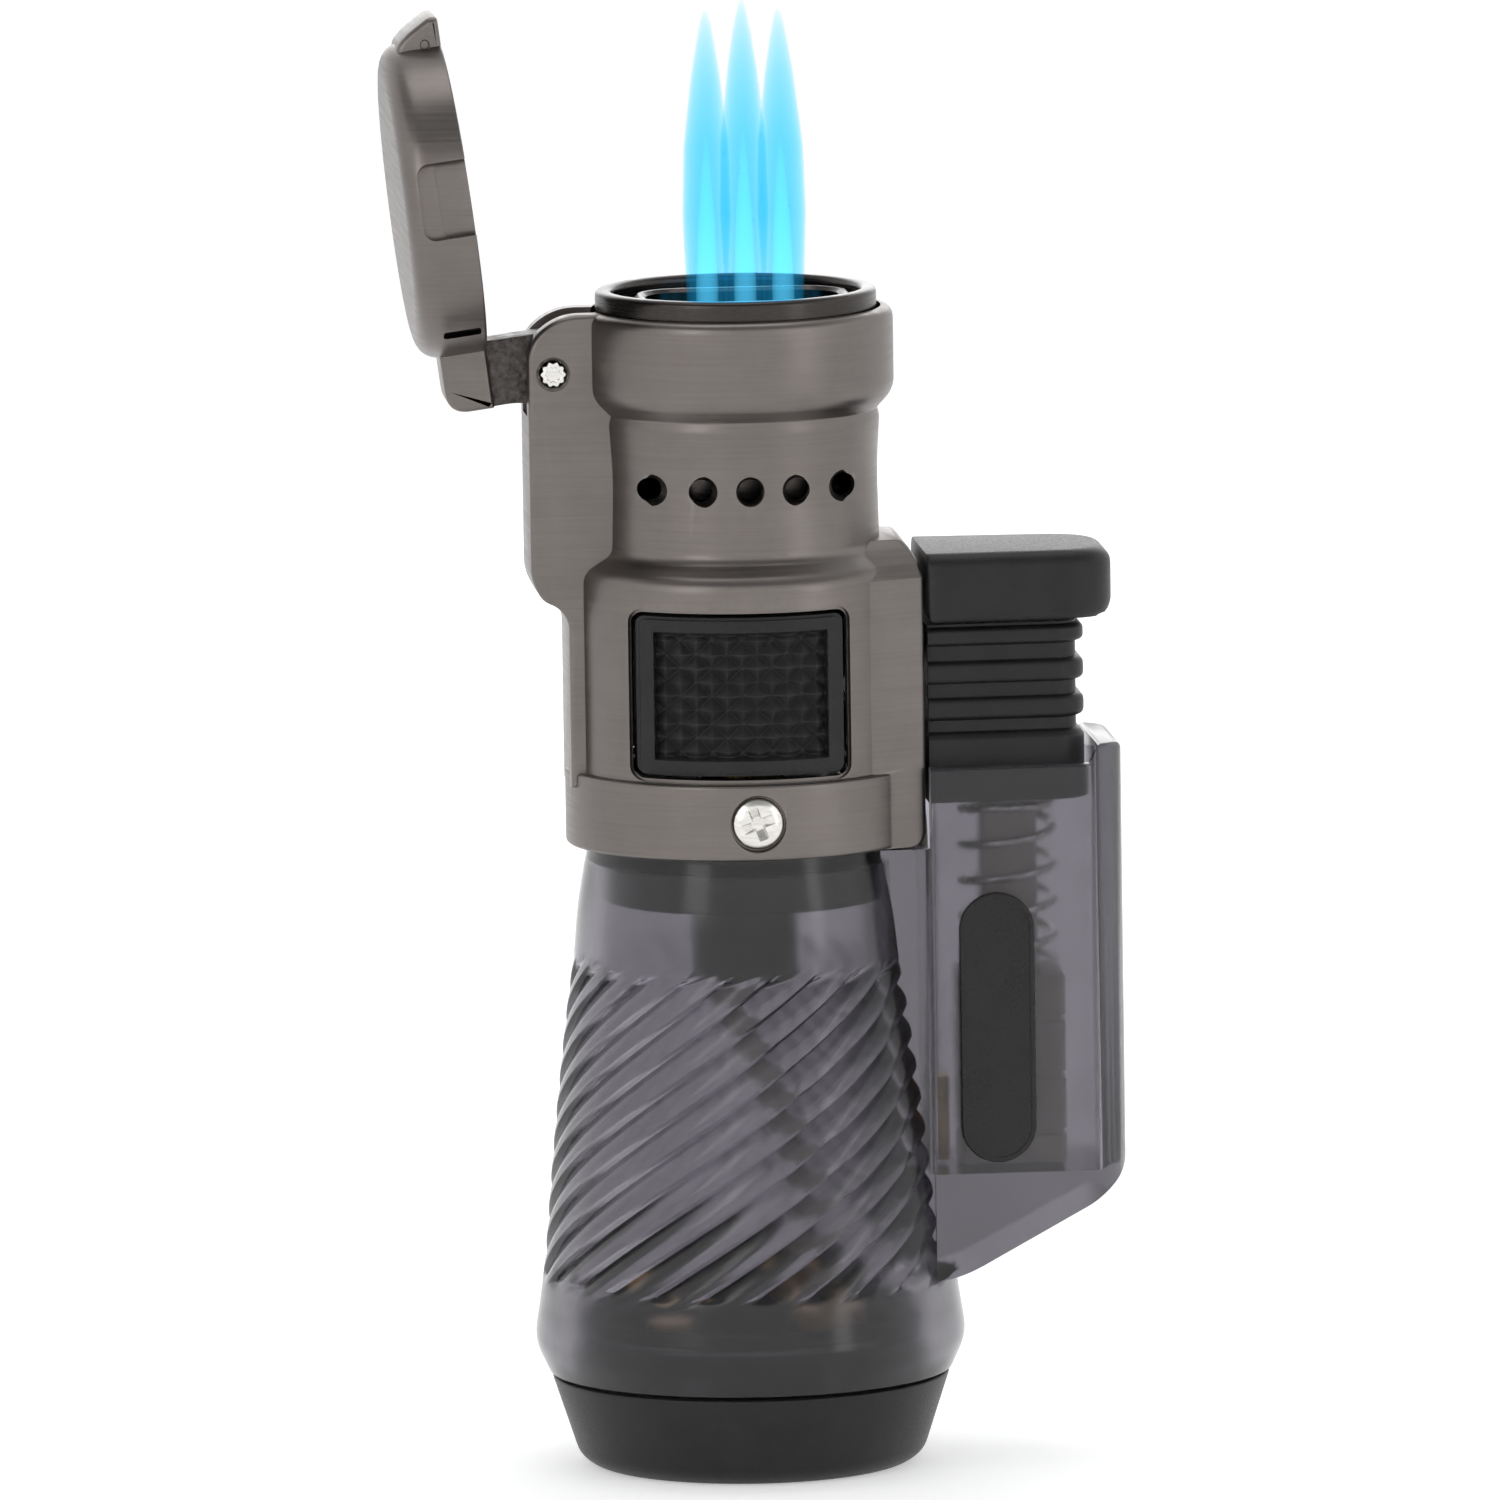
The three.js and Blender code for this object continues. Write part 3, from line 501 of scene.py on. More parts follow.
def black_casting():
    """Dark metal left rough from the mould, with smooth high spots polished by use."""
    made, tree, shader = start_material("black_casting", metallic=0.9)
    if not tree:
        return made
    pits = node(tree, "ShaderNodeTexVoronoi", {
        "Vector": coords(tree, (1700, 1700, 1700)), "Scale": 1.0, "Randomness": 1.0,
    }, feature="SMOOTH_F1").outputs["Distance"]
    veins = grain(tree, 0.5, 4.0, 0.7)
    dark, light = shades(colours().gunmetal, 0.18, 0.62)
    painted(tree, shader, veins, dark, light)
    roughened(tree, shader, pits, 0.28, 0.5, 0.1, 0.7)
    bumps(tree, shader, (pits, 0.09), (veins, 0.07))
    return made


def bright_steel():
    """Plated steel with fine scratches."""
    made, tree, shader = start_material("bright_steel", metallic=1.0)
    if not tree:
        return made
    scratches = noise(tree, coords(tree, (300, 4200, 4200), (0.3, 0.5, 0.2)), 3.0)
    dark, light = shades(colours().steel, 0.8, 1.05)
    painted(tree, shader, scratches, dark, light)
    roughened(tree, shader, scratches, 0.16, 0.3)
    bumps(tree, shader, (scratches, 0.003), (grain(tree, 0.3), 0.006))
    return made


def brass():
    """Turned brass with a faint dull film."""
    made, tree, shader = start_material("brass", metallic=1.0)
    if not tree:
        return made
    film = grain(tree, 1.2, 5.0)
    rings = noise(tree, coords(tree, (60, 60, 7000)), 1.0)
    dark, light = shades(colours().brass, 0.62, 1.05)
    painted(tree, shader, film, dark, light)
    roughened(tree, shader, film, 0.22, 0.42)
    bumps(tree, shader, (rings, 0.004))
    return made


def smoke_plastic():
    """Clear plastic tinted grey, with a fine moulded grain."""
    made, tree, shader = start_material("smoke_plastic")
    if not tree:
        return made
    tone = grain(tree, 6.0, 3.0)
    dark, light = shades(colours().smoke, 0.92, 1.06)
    painted(tree, shader, tone, dark, light)
    fine = grain(tree, 0.22, 2.0)
    roughened(tree, shader, fine, 0.13, 0.21)
    shader.inputs["Transmission Weight"].default_value = 1.0
    shader.inputs["IOR"].default_value = 1.46
    depth = node(tree, "ShaderNodeVolumeAbsorption", {"Color": (0.1, 0.09, 0.12, 1), "Density": 120.0})
    tree.links.new(depth.outputs[0], tree.nodes["Material Output"].inputs["Volume"])
    bumps(tree, shader, (fine, 0.001), (grain(tree, 1.6, 2.0), 0.008))
    return made


def black_plastic(name="black_plastic", rough=0.4, depth=0.012):
    """Moulded black plastic with spark-eroded grain, and corners polished by abrasion and painted lighter
    as a highlight.
    """
    made, tree, shader = start_material(name)
    if not tree:
        return made
    fine = grain(tree, 0.14, 3.0, 0.65)
    cloud = grain(tree, 3.0, 4.0)
    dark, light = shades(colours().black, 0.8, 1.25)
    base = blended(tree, spread(tree, cloud, 0, 1), dark, light)
    # Corners lighter in colour: partly abrasion, partly a painted highlight.
    abrasion_and_highlight = maths(tree, "MULTIPLY", edges(tree), 0.5)
    abraded_and_highlit = blended(tree, abrasion_and_highlight, base, shades(colours().black, 1, 3.0)[1])
    tree.links.new(abraded_and_highlit, shader.inputs["Base Color"])
    roughened(tree, shader, fine, rough - 0.08, rough + 0.12)
    shader.inputs["Specular IOR Level"].default_value = 0.3
    bumps(tree, shader, (fine, depth), (cloud, 0.01))
    return made


def pad_rubber():
    """The grip pads' matt rubber."""
    return black_plastic("pad_rubber", 0.46, 0.018)


def seal_rubber():
    """Plain black sealing rubber."""
    made, tree, shader = start_material("seal_rubber")
    if not tree:
        return made
    fine = grain(tree, 0.3, 3.0)
    dark, light = shades(colours().black, 0.5, 0.9)
    painted(tree, shader, fine, dark, light)
    roughened(tree, shader, fine, 0.6, 0.8)
    bumps(tree, shader, (fine, 0.01))
    return made


def pale_plastic():
    """Natural milky plastic, slightly waxy."""
    made, tree, shader = start_material("pale_plastic")
    if not tree:
        return made
    flow = noise(tree, coords(tree, (300, 300, 90)), 4.0)
    dark, light = shades(colours().pale, 0.86, 1.05)
    painted(tree, shader, flow, dark, light)
    roughened(tree, shader, flow, 0.32, 0.48)
    shader.inputs["Subsurface Weight"].default_value = 0.1
    shader.inputs["Subsurface Radius"].default_value = (0.001, 0.001, 0.0008)
    bumps(tree, shader, (grain(tree, 0.4), 0.006))
    return made


def ceramic():
    """Off-white fired ceramic with specks."""
    made, tree, shader = start_material("ceramic")
    if not tree:
        return made
    specks = grain(tree, 0.2, 5.0, 0.8)
    dark, light = shades(colours().pale, 0.7, 1.1)
    painted(tree, shader, specks, dark, light, 0.25, 0.4)
    roughened(tree, shader, specks, 0.25, 0.45)
    bumps(tree, shader, (specks, 0.004))
    return made


def backdrop():
    """Pale matt studio paper that gives off a little light, so that it stays white."""
    made, tree, shader = start_material("studio_paper", roughness=0.9)
    if not tree:
        return made
    fibre = noise(tree, coords(tree, (300, 300, 300)), 4.0)
    paper = blended(tree, fibre, (0.78, 0.78, 0.78), (0.82, 0.82, 0.82))
    tree.links.new(paper, shader.inputs["Base Color"])
    shader.inputs["Emission Color"].default_value = (1, 1, 1, 1)
    shader.inputs["Emission Strength"].default_value = 0.4
    return made


def flame_gas(name, tint, density, glow, strength):
    """Glowing gas that also holds back the colours it doesn't give out."""
    made = bpy.data.materials.new(name)
    made.use_nodes = True
    tree = made.node_tree
    tree.nodes.remove(tree.nodes["Principled BSDF"])
    held = node(tree, "ShaderNodeVolumeAbsorption", {"Color": (*tint, 1), "Density": density})
    light = node(tree, "ShaderNodeEmission", {"Color": (*glow, 1), "Strength": strength})
    both = node(tree, "ShaderNodeAddShader")
    tree.links.new(held.outputs[0], both.inputs[0])
    tree.links.new(light.outputs[0], both.inputs[1])
    tree.links.new(both.outputs[0], tree.nodes["Material Output"].inputs["Volume"])
    return made


# ------------------------------------------------------------------ settings
def length_property(name, description, default, smallest, largest):
    """A length, given here in millimetres and kept in metres."""
    return FloatProperty(name=name, description=description, default=default * MM, min=smallest * MM,
                         max=largest * MM, precision=5, unit="LENGTH")


def colour_property(name, description, default):
    """A base colour."""
    return FloatVectorProperty(name=name, description=description, default=default, subtype="COLOR",
                               size=3, min=0.0, max=1.0)


class LighterSizes(bpy.types.PropertyGroup):
    """Sizes of the surface detail."""

    rib_count: IntProperty(
        name="Tank ribs", description="Helical ribs round the tank", default=24, min=8, max=60)
    rib_depth: length_property("Rib depth", "Depth of the valleys between the tank's ribs", 0.5, 0, 0.8)
    rib_lead: length_property("Rib lead", "Height in which a rib would go once round", 56, 30, 300)
    rib_bottom: length_property("Ribs start", "Height where the ribs start", 13.2, 10, 20)
    rib_top: length_property("Ribs end", "Height where the ribs end", 35.9, 25, 39)
    knurl_width: length_property("Knurl width", "Width of a grip pad's pyramid", 2.1, 0.8, 6)
    knurl_height: length_property("Knurl height", "Height of a grip pad's pyramid", 1.95, 0.8, 6)
    knurl_depth: length_property("Knurl depth", "Depth of the grooves in a grip pad", 0.62, 0, 0.8)
    flame_height: length_property("Flame height", "How far the flames stand above the rim", 20.4, 1, 60)


class LighterColours(bpy.types.PropertyGroup):
    """Base colours of the finishes."""

    gunmetal: colour_property("Gunmetal", "Head and lid", (0.17, 0.153, 0.143))
    smoke: colour_property("Smoke", "Light let through by one wall of the tank", (0.42, 0.405, 0.44))
    black: colour_property("Black", "Plunger, base cap, pads and badge", (0.009, 0.0086, 0.009))
    steel: colour_property("Steel", "Screws, pins and springs", (0.78, 0.76, 0.72))
    brass: colour_property("Brass", "Jets and gas valve", (0.72, 0.5, 0.22))
    pale: colour_property("Natural plastic", "Spark unit case and gas tubes", (0.72, 0.69, 0.6))


def length(name):
    """One of the scene's lengths, in millimetres."""
    return getattr(bpy.context.scene.lighter_sizes, name) / MM


def colours():
    """The scene's colours."""
    return bpy.context.scene.lighter_colours


# ------------------------------------------------------------------ tank and base
SPIGOT_TOP = high("base_cap")[2]
BASE_TOP = SPIGOT_TOP - 2.9                  # the cap's edge
TANK_BOTTOM = low("tank_shell")[2]
CHAMBER_LIP = high("tank_shell")[2]
CHAMBER_TOP = 49.65
CHAMBER_FLOOR = low("spark_case")[2] - 0.3
CHAMBER_RIGHT = high("tank_shell")[0]
HEAD_BOTTOM = low("head_housing")[2]
COLLAR_TOP = high("head_housing")[2]
NECK_TOP = 49.2
CHAMBER_LEFT = 12.6
LIP_LEFT = 23.9                              # where the chamber's end wall starts to stand higher
CHAMBER_TAPER = 0.047
CHAMBER_HALF = 7.6                           # half depth its front face would have at the axis
PORT = 5.6                                   # fuel valve and dial, from the middle of the base


def tank_radius(heights):
    """Outer radius of the round tank at each height."""
    profile = filleted([
        (14.15, TANK_BOTTOM), (15.2, 8.9), (14.4, 14.0), (13.75, 21.7), (13.15, 27.5), (12.45, 33.3),
        (12.0, 36.2), (11.75, 39.5), (11.15, 42.9), (10.9, 43.9), (10.9, NECK_TOP),
    ], [0, 1.1, 3, 3, 3, 3, 2, 2, 0.6, 0.4, 0])
    return np.interp(heights, profile[:, 1], profile[:, 0])


def round_tank():
    """The tank's round body with its helical ribs; its columns follow the ribs."""
    per_rib = 12
    count = bpy.context.scene.lighter_sizes.rib_count
    bottom, top = length("rib_bottom"), length("rib_top")
    depth, lead = length("rib_depth"), length("rib_lead")
    heights = np.concatenate([
        np.linspace(TANK_BOTTOM, bottom - 0.9, 20), np.linspace(bottom - 0.8, bottom + 1.2, 14)[:-1],
        np.linspace(bottom + 1.2, top - 1.2, 60), np.linspace(top - 1.2, top + 0.8, 14)[1:],
        np.linspace(top + 1.0, NECK_TOP, 36),
    ])
    place = np.arange(count * per_rib) / per_rib
    across = np.maximum(1 - (place % 1.0) / 0.6, (place % 1.0 - 0.86) / 0.14).clip(0, 1)
    rings = []
    for z, radius in zip(heights, tank_radius(heights)):
        angles = TURN * (place / count + z / lead)
        ends = np.minimum(z - bottom + 0.5 * (1 - across), top - z + 0.9 * (1 - across))
        inside = np.clip(ends / 0.8, 0, 1)
        inside = inside * inside * (3 - 2 * inside)
        r = radius + 0.02 - depth * inside * across**1.4
        rings.append(np.column_stack([r * np.cos(angles), r * np.sin(angles), np.full(len(r), z)]))
    return loft("tank_shell_outer", rings)


def chamber_side(left=9.0):
    """The chamber seen from the front: a raised lip at its end and a sloping underside."""
    right = CHAMBER_RIGHT
    return filleted([
        (left, 12.6), (14.6, 13.7), (24.4, 18.9), (right, 20.8), (right, CHAMBER_LIP),
        (24.5, CHAMBER_LIP), (LIP_LEFT, CHAMBER_TOP), (left, CHAMBER_TOP),
    ], [0, 1.5, 2.2, 2.6, 1.5, 0.3, 0.5, 0], closed=True, steps=8)


def side_prism(name, outline, half, edge=0.0):
    """An outline in X and Z, pushed out to the same distance front and back."""
    return lying(prism(name, outline, -half, half, edge))


class LIGHTER_OT_tank(bpy.types.Operator):
    """Smoky round tank with helical ribs, and the side chamber moulded with it"""

    bl_idname = "lighter.tank"
    bl_label = "Tank"
    bl_options = {"REGISTER", "UNDO"}

    def execute(self, context):
        plan = tapered_plan(0, CHAMBER_RIGHT, CHAMBER_HALF, CHAMBER_TAPER, 3.2)
        chamber = prism("chamber", plan, 8, CHAMBER_TOP, 0.3)
        lip = carve(prism("lip", plan, 45, CHAMBER_LIP, 0.35), box("lip end", -1, LIP_LEFT, -9, 9, 0, 60))
        join(chamber, lip)
        carve(chamber, side_prism("side", chamber_side(), 9), operation="INTERSECT")
        carve(chamber, box("inner half", -1, CHAMBER_LEFT, -9, 9, 0, 60))
        web = side_prism("web", chamber_side(), 6.3, 0.2)
        carve(web, box("web limit", 0, CHAMBER_LEFT + 1, -9, 9, 5, 43.9), operation="INTERSECT")
        shell = join(round_tank(), web, chamber)
        hollow = turned("hollow", filleted([
            (0, 4), (12.6, 4), (12.6, BASE_TOP + 4.5), (12.4, 14.0), (11.9, 21.7), (11.3, 27.5),
            (10.6, 33.3), (10.15, 36.2), (10.05, 42.9), (8.6, 43.4), (8.6, 60), (0, 60),
        ], [0, 0, 0.3, 2, 2, 2, 1.5, 1.5, 0.4, 0.2, 0, 0]), facets=128)
        bore = prism("bore", rounded_rect(12.3, 24.4, -5.6, 5.6, 0.6), CHAMBER_FLOOR, 60)
        carve(shell, hollow, bore)
        shell.name = "tank_wall"
        finished(shell, "body", smoke_plastic(), ["tank_shell"], 40)
        return {"FINISHED"}


class LIGHTER_OT_base(bpy.types.Operator):
    """Base cap, its seal, the fuel valve and the flame dial"""

    bl_idname = "lighter.base"
    bl_label = "Base"
    bl_options = {"REGISTER", "UNDO"}

    def execute(self, context):
        cap = turned("base_cover", filleted([
            (0, 0), (11.0, 0), (12.15, 0.75), (14.0, BASE_TOP), (12.3, BASE_TOP), (12.3, SPIGOT_TOP),
            (10.9, SPIGOT_TOP), (10.9, 4.2), (0, 4.2),
        ], [0, 0.5, 0.7, 0.25, 0.1, 0.15, 0.15, 0.2, 0]), facets=160)
        fuel_hole = turned("fuel hole", [
            (0, -1), (3.1, -1), (3.1, 0), (2.6, 0.5), (2.6, 6), (0, 6),
        ], -PORT, 0, 64)
        dial_hole = turned("dial hole", [
            (0, -1), (4.0, -1), (4.0, 0), (3.6, 0.4), (3.6, 2.4), (2.9, 2.4), (2.9, 6), (0, 6),
        ], PORT, 0, 64)
        carve(cap, fuel_hole, dial_hole)
        for turn in range(-4, 5):
            tick = box("tick", 4.2, 4.9, -0.09, 0.09, -0.5, 0.16, 0.02)
            carve(cap, moved(tick, (PORT, 0, 0), TURN * turn / 24))
        finished(cap, "body", black_plastic(), ["base_cap"])
        seal = turned("base_o_ring", ring_profile(10.9, 12.2, BASE_TOP + 3.2, BASE_TOP + 4.2, 0.4, 6))
        finished(seal, "body", seal_rubber(), ["base_seal"])
        self.fuel_valve()
        self.flame_control()
        return {"FINISHED"}

    def fuel_valve(self):
        valve = turned("fuel_valve_body", filleted([
            (0, 3.2), (0.9, 3.2), (0.9, 0.6), (2.3, 0.6), (2.3, 5.5), (3.4, 5.5), (3.4, 6.3),
            (1.6, 6.3), (1.6, 9.6), (0, 9.6),
        ], 0.15), -PORT, 0, 64)
        finished(valve, "body", brass(), ["fuel_valve"])
        seal = turned("fuel_valve_o_ring", ring_profile(2.6, 3.5, 4.5, 5.2, 0.3, 5), -PORT, 0, 64)
        finished(seal, "body", seal_rubber(), ["fuel_valve_seal"])

    def flame_control(self):
        disc_side = filleted([(0, 0.5), (3.3, 0.5), (3.3, 2.1), (0, 2.1)], 0.2)
        dial = turned("dial_disc", disc_side, PORT, 0, 64)
        carve(dial, box("slot", PORT - 2.6, PORT + 2.6, -0.4, 0.4, 0, 1.3, 0.1))
        finished(dial, "dial", black_plastic(), ["flame_dial"])
        spindle_side = filleted([(0, 2.4), (1.2, 2.4), (1.2, 9.2), (0, 9.2)], 0.2)
        stem = turned("regulator_spindle", spindle_side, PORT, 0, 48)
        finished(stem, "dial", brass(), ["regulator_stem"])
        body = turned("regulator_sleeve", ring_profile(1.5, 2.6, 2.4, 10.4, 0.15), PORT, 0, 64)
        finished(body, "body", brass(), ["regulator_body"])
        route = [(PORT, 0, 10.8), (PORT, 0, 17), (2.8, 0, 25), (0, 0, 31), (0, 0, 35.2)]
        tube = wire("dip_tube", route, 0.9, 24)
        finished(tube, "body", pale_plastic(), ["gas_tube"])


# ------------------------------------------------------------------ gas valve
HOSE_TOP = high("gas_hose")[2]


class LIGHTER_OT_valve(bpy.types.Operator):
    """Plug, valve housing, valve, stem and hose between the tank and the burner"""

    bl_idname = "lighter.valve"
    bl_label = "Gas valve"
    bl_options = {"REGISTER", "UNDO"}

    def execute(self, context):
        plug = turned("neck_plug", filleted([
            (2.9, 40.0), (9.75, 40.0), (9.75, 42.6), (8.3, 43.0), (8.3, 48.6), (2.9, 48.6), (2.9, 40.0),
        ], [0, 0.3, 0.3, 0.3, 0.3, 0.2, 0]))
        finished(plug, "body", black_plastic(), ["tank_plug"])
        housing = turned("valve_cup", ring_profile(2.9, 3.7, 34.4, 39.7), 0, 0, 64)
        finished(housing, "body", black_plastic(), ["valve_housing"])
        valve = turned("valve_body", filleted([
            (0.7, 35.6), (1.9, 35.6), (2.6, 38.0), (2.6, 50.2), (2.0, 51.2), (1.1, 51.2), (1.1, 44.0),
            (0.7, 43.5), (0.7, 35.6),
        ], [0, 0.2, 0.2, 0.2, 0.2, 0.1, 0.1, 0.1, 0]), 0, 0, 64)
        finished(valve, "body", brass(), ["gas_valve"])
        stem = turned("valve_spindle", filleted([
            (0, 44.4), (0.8, 44.4), (0.8, 55.0), (1.9, 55.0), (1.9, 55.9), (0.8, 55.9), (0.8, 57.4),
            (0, 57.4),
        ], 0.12), 0, 0, 48)
        finished(stem, "stem", brass(), ["valve_stem"])
        hose = turned("gas_sleeve", ring_profile(1.1, 1.7, 56.3, HOSE_TOP, 0.1), 0, 0, 48)
        finished(hose, "body", pale_plastic(), ["gas_hose"])
        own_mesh(hose)
        return {"FINISHED"}


# ------------------------------------------------------------------ head
BAND_RADIUS = 12.45
BODY_RADIUS = 11.8
SHOULDER = 63.6
VENT_Z = 69.8
VENT_PITCH = 3.39
SCREW_Z = 46.8
SCREW_TURN = 0.35
SCREW_FACE = 12.55                           # how far out the middle of a screw's head stands
SPINE_OUTER = low("head_housing")[0]
SLOT_SILL = high("detent_spring")[2] + 0.1   # floor of the slot that the lid's arm swings in
SIDES = ((-1, "front"), (1, "rear"))
PAD_EDGE = 0.3                               # gap round a grip pad
PAD_LOW, PAD_HIGH = low("front_grip_pad"), high("front_grip_pad")


def head_round():
    return turned("head_shell", filleted([
        (0, HEAD_BOTTOM), (BAND_RADIUS, HEAD_BOTTOM), (BAND_RADIUS, 49.5), (BODY_RADIUS, 49.52),
        (BODY_RADIUS, SHOULDER), (9.85, 64.9), (9.72, 70.5), (9.95, 74.0), (9.8, 74.6),
        (11.0, 75.9), (11.0, COLLAR_TOP), (0, COLLAR_TOP),
    ], [0, 0.35, 0.28, 0.12, 0.8, 0.6, 2.0, 0.4, 0.1, 0.8, 0.9, 0], steps=8), facets=192)


def spine():
    """The upright rib at the hinge side, swelling outwards below the pin."""
    outline = filleted([
        (-8.8, COLLAR_TOP), (-12.6, COLLAR_TOP), (SPINE_OUTER, 80.0), (SPINE_OUTER, 63.2),
        (-14.1, 61.65), (-13.0, 61.2), (-12.3, 60.2), (-12.3, 48.5), (-8.8, 48.5),
    ], [0, 1.4, 2.0, 2.0, 0.8, 0.6, 1.0, 0, 0], steps=10)
    return side_prism("spine", outline, 3.5, 0.4)


def boss():
    """The block beside the plunger: it narrows towards it and slopes back at the top."""
    heights = [44.2, 44.35, 44.6, 45.1, 50.0, 58.0, 62.8, 63.1, 63.4, 64.2, 65.0, 65.4, 65.5]
    rings = []
    for z in heights:
        up = np.clip((z - 62.9) / 2.6, 0, 1)
        right = 12.3 - 0.9 * (1 - math.sqrt(1 - np.clip((45.1 - z) / 0.9, 0, 1) ** 2))
        right -= 1.25 * up**2.2
        back = 1 - 0.46 * np.clip((z - 63.1) / 2.4, 0, 1)
        left_half, right_half = 9.4 * back, (9.4 - 0.465 * (right - 6.0)) * back
        corners = [(6.0, -left_half), (right, -right_half), (right, right_half), (6.0, left_half)]
        ring = filleted(corners, [0, 0.35, 0.35, 0], closed=True, steps=4)
        rings.append(at_height(ring, z))
    return loft("boss", rings)


def window(outset, depth):
    """Cutter for the two grip windows, down to a radius of depth in the wall."""
    x0, z0 = PAD_LOW[0] - PAD_EDGE - outset, PAD_LOW[2] - PAD_EDGE - outset
    x1, z1 = PAD_HIGH[0] + PAD_EDGE + outset, PAD_HIGH[2] + PAD_EDGE + outset
    cutter = side_prism("window", rounded_rect(x0, x1, z0, z1, 0.8 + outset), 14)
    return carve(cutter, turned("core", [(0, 40), (depth, 40), (depth, 70), (0, 70)]))


class LIGHTER_OT_head(bpy.types.Operator):
    """Cast head with its band, spine, boss, windows, air holes, waist and collar"""

    bl_idname = "lighter.head"
    bl_label = "Head"
    bl_options = {"REGISTER", "UNDO"}

    def execute(self, context):
        head = join(head_round(), spine(), boss())
        bore = turned("bore", filleted([
            (0, 43), (11.2, 43), (11.2, 49.5), (10.3, 49.5), (10.3, 62.5), (8.6, 64.8), (8.6, 79.7),
            (10.15, 79.7), (10.15, 84), (0, 84),
        ], [0, 0, 0.1, 0.1, 0.4, 0.8, 0.1, 0.1, 0, 0]), facets=160)
        hollow = box("boss hollow", 8.0, 14, -5.5, 5.5, 49.5, 62.4, 0.3)
        ramp_groove = box("ramp groove", 11.7, 14, -2, 2, 43, 50.2)
        lead_groove = box("lead groove", 11.7, 14, 4.3, 5.5, 43, 50.2)
        carve(head, bore, hollow, ramp_groove, lead_groove, window(0, 9.6), window(0.22, 11.62))
        self.hinge_cuts(head)
        self.air_holes(head)
        self.screw_holes(head)
        head.name = "head_casting"
        finished(head, "body", gunmetal(), ["head_housing"], 38)
        top = high("rim_ring")[2]
        rim = turned("mouth_rim", filleted([
            (9.1, 80.0), (9.85, 80.0), (9.85, top), (8.7, top), (8.7, 80.6),
        ], [0.1, 0.1, 0.5, 0.5, 0.1], closed=True, steps=8), facets=160)
        finished(rim, "body", dark_metal(), ["rim_ring"])
        return {"FINISHED"}

    def hinge_cuts(self, head):
        slot = box("slot", -17, -10.0, -1.8, 1.8, SLOT_SILL, 90, 0.2)
        channel = box("spring channel", -14.1, -12.3, -1.5, 1.5, 66.2, SLOT_SILL + 1, 0.1)
        pin_hole = rod("pin hole", PIN_X, PIN_Z, 1.0, -5, 5)
        lever_hole = rod("lever pin hole", 9.4, 55.2, 1.1, -6.4, 6.4, 32)
        carve(head, slot, channel, pin_hole, lever_hole)
        for side, _ in SIDES:
            flare = turned("flare", [(0, 3.3), (0.98, 3.3), (1.5, 3.75), (0, 3.75)], 0, 0, 48)
            carve(head, facing_out(flare, side, PIN_X, PIN_Z))

    def air_holes(self, head):
        for side, _ in SIDES:
            for step in (-2, -1, 0, 1, 2):
                x = step * VENT_PITCH
                face = math.sqrt(9.75**2 - x**2)
                hole = turned("air hole", [
                    (0, 4), (0.85, 4), (0.85, face - 0.25), (1.12, face + 0.1), (1.12, 11), (0, 11),
                ], 0, 0, 40)
                carve(head, facing_out(hole, side, x, VENT_Z))

    def screw_holes(self, head):
        for side, _ in SIDES:
            hole = turned("screw hole", [
                (0, 10), (1.3, 10), (1.3, 11.65), (1.95, 11.65), (1.95, 12.3), (2.15, 12.6), (0, 12.6),
            ], 0, 0, 64)
            carve(head, facing_out(hole, side, 0, SCREW_Z))


# ------------------------------------------------------------------ grip pads
def knurl(u, v):
    """Height of the pad's face below its highest face: crossing grooves that leave pyramids."""
    across, along = u / length("knurl_width"), v / length("knurl_height")
    first, second = np.abs((across + along) % 1.0 - 0.5), np.abs((across - along) % 1.0 - 0.5)
    peak = np.minimum(0.5 - first, 0.5 - second) * 2
    height = np.clip(peak / 0.95, 0, 1)
    half_width = (PAD_HIGH[0] - PAD_LOW[0]) / 2 - 1.1
    half_height = (PAD_HIGH[2] - PAD_LOW[2]) / 2 - 1.05
    inside = np.minimum(half_width - np.abs(u), half_height - np.abs(v))
    field = np.clip(inside / 0.25, 0, 1)
    return -field * (0.12 + length("knurl_depth") * (1 - height))


class LIGHTER_OT_pads(bpy.types.Operator):
    """Knurled grip pads that fill the head's two windows"""

    bl_idname = "lighter.pads"
    bl_label = "Grip pads"
    bl_options = {"REGISTER", "UNDO"}

    def execute(self, context):
        centre_x = (PAD_LOW[0] + PAD_HIGH[0]) / 2
        centre_z = (PAD_LOW[2] + PAD_HIGH[2]) / 2
        heights = np.linspace(PAD_LOW[2] - 0.3, PAD_HIGH[2] + 0.3, 150)
        places = np.linspace(PAD_LOW[0] - 0.3, PAD_HIGH[0] + 0.3, 180)
        for side, name in SIDES:
            rings = []
            for z in heights:
                radius = 11.72 + knurl(places - centre_x, z - centre_z)
                face = np.column_stack([places, side * np.sqrt(radius**2 - places**2)])
                back = np.column_stack([places[::-6], side * np.sqrt(9.2**2 - places[::-6] ** 2)])
                ring = np.concatenate([face, back])
                rings.append(at_height(ring if side < 0 else ring[::-1], z))
            pad = loft("pad block", rings)
            outline = rounded_rect(PAD_LOW[0], PAD_HIGH[0], PAD_LOW[2], PAD_HIGH[2], 0.6)
            carve(pad, side_prism("outline", outline, 14), operation="INTERSECT")
            rim = turned("rim", [(0, 40), (11.5, 40), (11.5, 70), (0, 70)], facets=192)
            soft = side_prism("soft", rounded_rect(
                PAD_LOW[0] + 0.22, PAD_HIGH[0] - 0.22, PAD_LOW[2] + 0.22, PAD_HIGH[2] - 0.22, 0.4), 14)
            carve(pad, join(rim, soft), operation="INTERSECT")
            pad.name = f"{name}_pad"
            finished(pad, "body", pad_rubber(), [f"{name}_grip_pad"], 22)
        return {"FINISHED"}


